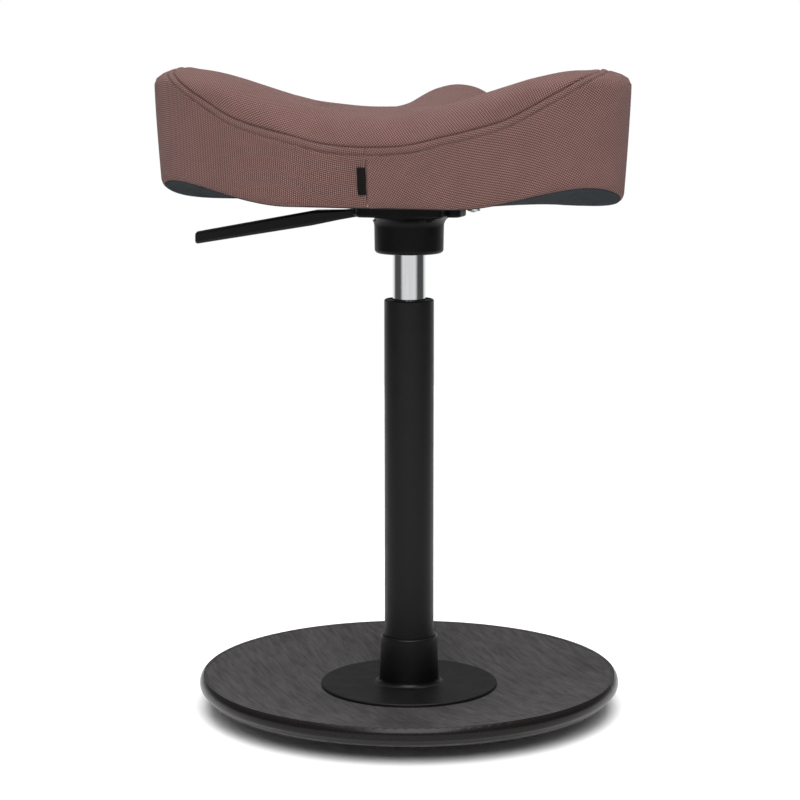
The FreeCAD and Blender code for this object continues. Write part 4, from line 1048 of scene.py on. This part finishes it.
def make_lining(mat):
    """Lining under the seat, slightly loose, with a pressed diagonal seam and a turned opening."""
    place, inward, _, _ = seat_outline(LINING_COLUMNS)
    turns = np.arctan2(place[:, 1], place[:, 0])
    ways = np.column_stack([np.cos(turns), np.sin(turns)])
    edge = place + inward * LINING_INSET
    mouth = ways * (opening_reach(turns) + LINING_OVERHANG)[:, None]
    span = np.linalg.norm(mouth - edge, axis=1)
    rings = []
    for share in LINING_SHARES:
        xy = edge + (mouth - edge) * share
        drop = lining_drop(xy, share * span)
        if share in (0.0, 1.0):
            drop = drop - LINING_EDGE_TURN
        rings.append(np.column_stack([xy, shell_height(xy[:, 0], xy[:, 1]) - drop]))
    stack = np.stack(rings)
    faces = [tuple(reversed(face)) for face in grid_faces(len(stack), len(place), True)]
    obj = new_object("lining_cloth", stack.reshape(-1, 3) * MM, faces)
    obj.data.materials.append(mat)
    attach(obj, "seat")
    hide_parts("underside_cover")


def interp_rows(places, travel, rows):
    return np.stack([np.interp(places, travel, rows[:, a]) for a in range(3)], 1)


def stitch_points(centre, out):
    """Points of one stitch: rings round its line, slimmer and deeper at both ends."""
    along = centre[-1] - centre[0]
    along /= np.linalg.norm(along)
    across = np.cross(out, along)
    arch = np.sin(np.linspace(0, math.pi, STITCH_RINGS))
    centre = centre + out * (arch[:, None] * STITCH_ARCH - STITCH_ENDS_DOWN)
    points = []
    for r in range(STITCH_RINGS):
        radius = STITCH_RADIUS * (STITCH_END_SHARE + (1 - STITCH_END_SHARE) * arch[r])
        for s in range(STITCH_SIDES):
            turn = 2 * math.pi * s / STITCH_SIDES
            points.append(centre[r] + radius * (math.cos(turn) * out[r] + math.sin(turn) * across[r]))
    return points


def make_stitches():
    """Top stitches in the crease under the band, one capsule per stitch."""
    place, inward, arc, total = seat_outline(STITCH_LINE_POINTS)
    line, out = Section(place, inward).at(seam_rise(arc, total)[None] - BAND_WIDTH)
    line, out = line[0] - out[0] * STITCH_SUNK, out[0]
    line = np.vstack([line, line[:1]])
    out = np.vstack([out, out[:1]])
    travel = path_travel(line)
    count = int(travel[-1] / STITCH_STEP)
    verts, faces = [], []
    for k in range(count):
        begin = (k + STITCH_START) * travel[-1] / count
        places = begin + np.linspace(0.0, STITCH_LENGTH, STITCH_RINGS)
        first = len(verts)
        verts += stitch_points(interp_rows(places, travel, line), interp_rows(places, travel, out))
        faces += grid_faces(STITCH_RINGS, STITCH_SIDES, True, first)
        last_ring = first + (STITCH_RINGS - 1) * STITCH_SIDES
        faces.append(tuple(first + s for s in reversed(range(STITCH_SIDES))))
        faces.append(tuple(last_ring + s for s in range(STITCH_SIDES)))
    obj = new_object("band_stitches", np.array(verts) * MM, faces)
    obj.data.materials.append(thread_material())
    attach(obj, "seat")


def tag_points(low, high):
    """Both faces of the ribbon, row by row, following the border and bowed off it."""
    hem = float(shell_height(0.0, REAR_Y))
    tall = float(top_height(0.0, REAR_Y) - seam_drop(0.0)) - hem
    points = []
    for face in (0, 1):
        for r in range(TAG_ROWS):
            up = r / (TAG_ROWS - 1)
            z = low[2] + (high[2] - low[2]) * up
            border_y = REAR_Y + BORDER_LEAN * (1.0 - (z - hem) / tall) ** BORDER_CURVE
            for c in range(TAG_COLUMNS):
                t = c / (TAG_COLUMNS - 1)
                opening = TAG_OPEN * math.sin(math.pi * (1 - t) * 0.5)
                bow = TAG_OFF + opening + TAG_BELLY * math.sin(math.pi * up)
                points.append((low[0] + (high[0] - low[0]) * t, border_y - bow - TAG_THICK * face, z))
    return points


def make_tag():
    """Bare ribbon tag folded into the rear seam, slightly bowed off the border."""
    low, high = np.array(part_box("label_tag")) / MM
    rows, columns = TAG_ROWS, TAG_COLUMNS
    size = rows * columns
    faces = grid_faces(rows, columns, False)
    faces += [tuple(reversed(face)) for face in grid_faces(rows, columns, False, size)]
    rim = list(range(columns))
    rim += [r * columns + columns - 1 for r in range(1, rows)]
    rim += [(rows - 1) * columns + c for c in reversed(range(columns - 1))]
    rim += [r * columns for r in reversed(range(1, rows - 1))]
    for a, b in zip(rim, rim[1:] + rim[:1]):
        faces.append((a, size + a, size + b, b))
    obj = new_object("tag_ribbon", np.array(tag_points(low, high)) * MM, faces)
    obj.data.materials.append(ribbon_material())
    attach(obj, "seat")
    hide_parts("label_tag")


# Studio

def direction(azimuth, elevation):
    a, e = math.radians(azimuth), math.radians(elevation)
    return Vector((math.sin(a) * math.cos(e), -math.cos(a) * math.cos(e), math.sin(e)))


def area_light(name, elevation, distance, size, power):
    """Square light on the camera's side, turned to the middle of the stool."""
    data = bpy.data.lights.new(name, "AREA")
    data.energy = power
    data.size = size
    obj = bpy.data.objects.new(name, data)
    obj.location = LIGHT_TARGET + direction(CAMERA_AZIMUTH, elevation) * distance
    obj.rotation_euler = (LIGHT_TARGET - obj.location).to_track_quat("-Z", "Y").to_euler()
    bpy.context.scene.collection.objects.link(obj)


def make_lights():
    area_light("top_box", elevation=84.0, distance=3.0, size=3.4, power=82.0)
    area_light("front_box", elevation=42.0, distance=3.2, size=2.2, power=108.0)


def studio_color(tree):
    """Bright front and back with dim sides at eye level, and paler light from overhead."""
    way = node(tree, "ShaderNodeTexCoord").outputs["Generated"]
    axes = split_axes(tree, mapping(tree, way, rotation=(0, 0, -math.radians(CAMERA_AZIMUTH))))
    ahead = as_share(tree, axes[1])
    high = as_share(tree, axes[2])
    near, side, far = grey(0.80), grey(0.08), WHITE
    band = ramp(tree, ahead, [(0.0, near), (0.13, near), (0.27, side), (0.66, side), (0.86, far), (1.0, far)])
    sky = ramp(tree, high, [(0.0, grey(0.25)), (0.55, grey(0.10)), (0.72, grey(0.25)), (1.0, grey(0.8))])
    outside, inside = grey(0.0), grey(1.0)
    level = ramp(tree, high, [(0.40, outside), (0.44, inside), (0.54, inside), (0.58, outside)])
    return mix_color(tree, level, sky, band)


def make_world():
    """White to the camera, and a studio to the object."""
    world = bpy.data.worlds.new("studio")
    bpy.context.scene.world = world
    world.use_nodes = True
    tree = world.node_tree
    tree.nodes.clear()
    out = node(tree, "ShaderNodeOutputWorld")
    seen = node(tree, "ShaderNodeBackground")
    set_inputs(seen, {"Color": (*WHITE, 1.0), "Strength": 1.0})
    lit = node(tree, "ShaderNodeBackground")
    lit.inputs["Strength"].default_value = 1.0
    tree.links.new(studio_color(tree), lit.inputs["Color"])
    path = node(tree, "ShaderNodeLightPath")
    mix = node(tree, "ShaderNodeMixShader")
    tree.links.new(path.outputs["Is Camera Ray"], mix.inputs[0])
    tree.links.new(lit.outputs[0], mix.inputs[1])
    tree.links.new(seen.outputs[0], mix.inputs[2])
    tree.links.new(mix.outputs[0], out.inputs[0])


def make_floor():
    """Pale floor, lifted to white for the camera by a glow that is held back near the stool, so that a
    painted shadow darkens the floor round its base on top of the rendered one.
    """
    turns = [math.radians(360 * k / FLOOR_SIDES) for k in range(FLOOR_SIDES)]
    verts = [(FLOOR_R * math.cos(turn), FLOOR_R * math.sin(turn), 0.0) for turn in turns]
    obj = new_object("floor", verts, [tuple(range(FLOOR_SIDES))], smooth_shade=False)
    mat, tree, shader = material("floor")
    set_inputs(shader, {"Base Color": (*grey(0.96), 1.0), "Roughness": 1.0, "Specular IOR Level": 0.0,
                        "Emission Color": (*WHITE, 1.0)})
    seen = node(tree, "ShaderNodeLightPath").outputs["Is Camera Ray"]
    reach = times(tree, reach_from_axis(tree, object_coords(tree)), 1.0 / FLOOR_R)
    start, full = FLOOR_PAINTED_SHADOW_R / FLOOR_R, FLOOR_PAINTED_SHADOW_FADE_R / FLOOR_R
    # Painted shadow: the camera's glow ramps from none near the stool to full further out
    outside_painted_shadow = ramp(tree, reach, [(start, grey(0.0)), (full, WHITE)])
    glow = times(tree, times(tree, seen, FLOOR_LIFT), outside_painted_shadow)
    tree.links.new(glow, shader.inputs["Emission Strength"])
    obj.data.materials.append(mat)


def make_camera():
    data = bpy.data.cameras.new("camera")
    data.lens = CAMERA_LENS
    data.sensor_width = SENSOR
    data.shift_x = (IMAGE_SIDE / 2 - AXIS_PIXEL_X) / IMAGE_SIDE
    data.shift_y = (AXIS_PIXEL_Y - IMAGE_SIDE / 2) / IMAGE_SIDE
    data.clip_start = CLIP_START
    data.clip_end = CLIP_END
    obj = bpy.data.objects.new("camera", data)
    around = math.radians(CAMERA_AZIMUTH)
    obj.location = (CAMERA_DISTANCE * math.sin(around), -CAMERA_DISTANCE * math.cos(around), CAMERA_HEIGHT)
    obj.rotation_euler = (math.radians(90.0 - CAMERA_PITCH), 0.0, around)
    bpy.context.scene.collection.objects.link(obj)
    bpy.context.scene.camera = obj


dress_frame()
puff = puff_field()
make_top_panel(puff, fabric("cloth_top", angle=8.0))
make_border_panel(-1, puff, fabric("cloth_left", angle=38.0))
make_border_panel(1, puff, fabric("cloth_right", angle=12.0))
make_stitches()
make_lining(felt("lining", (0.022, 0.026, 0.029)))
make_tag()
make_floor()
make_world()
make_lights()
make_camera()
bpy.context.scene.view_settings.view_transform = "Standard"
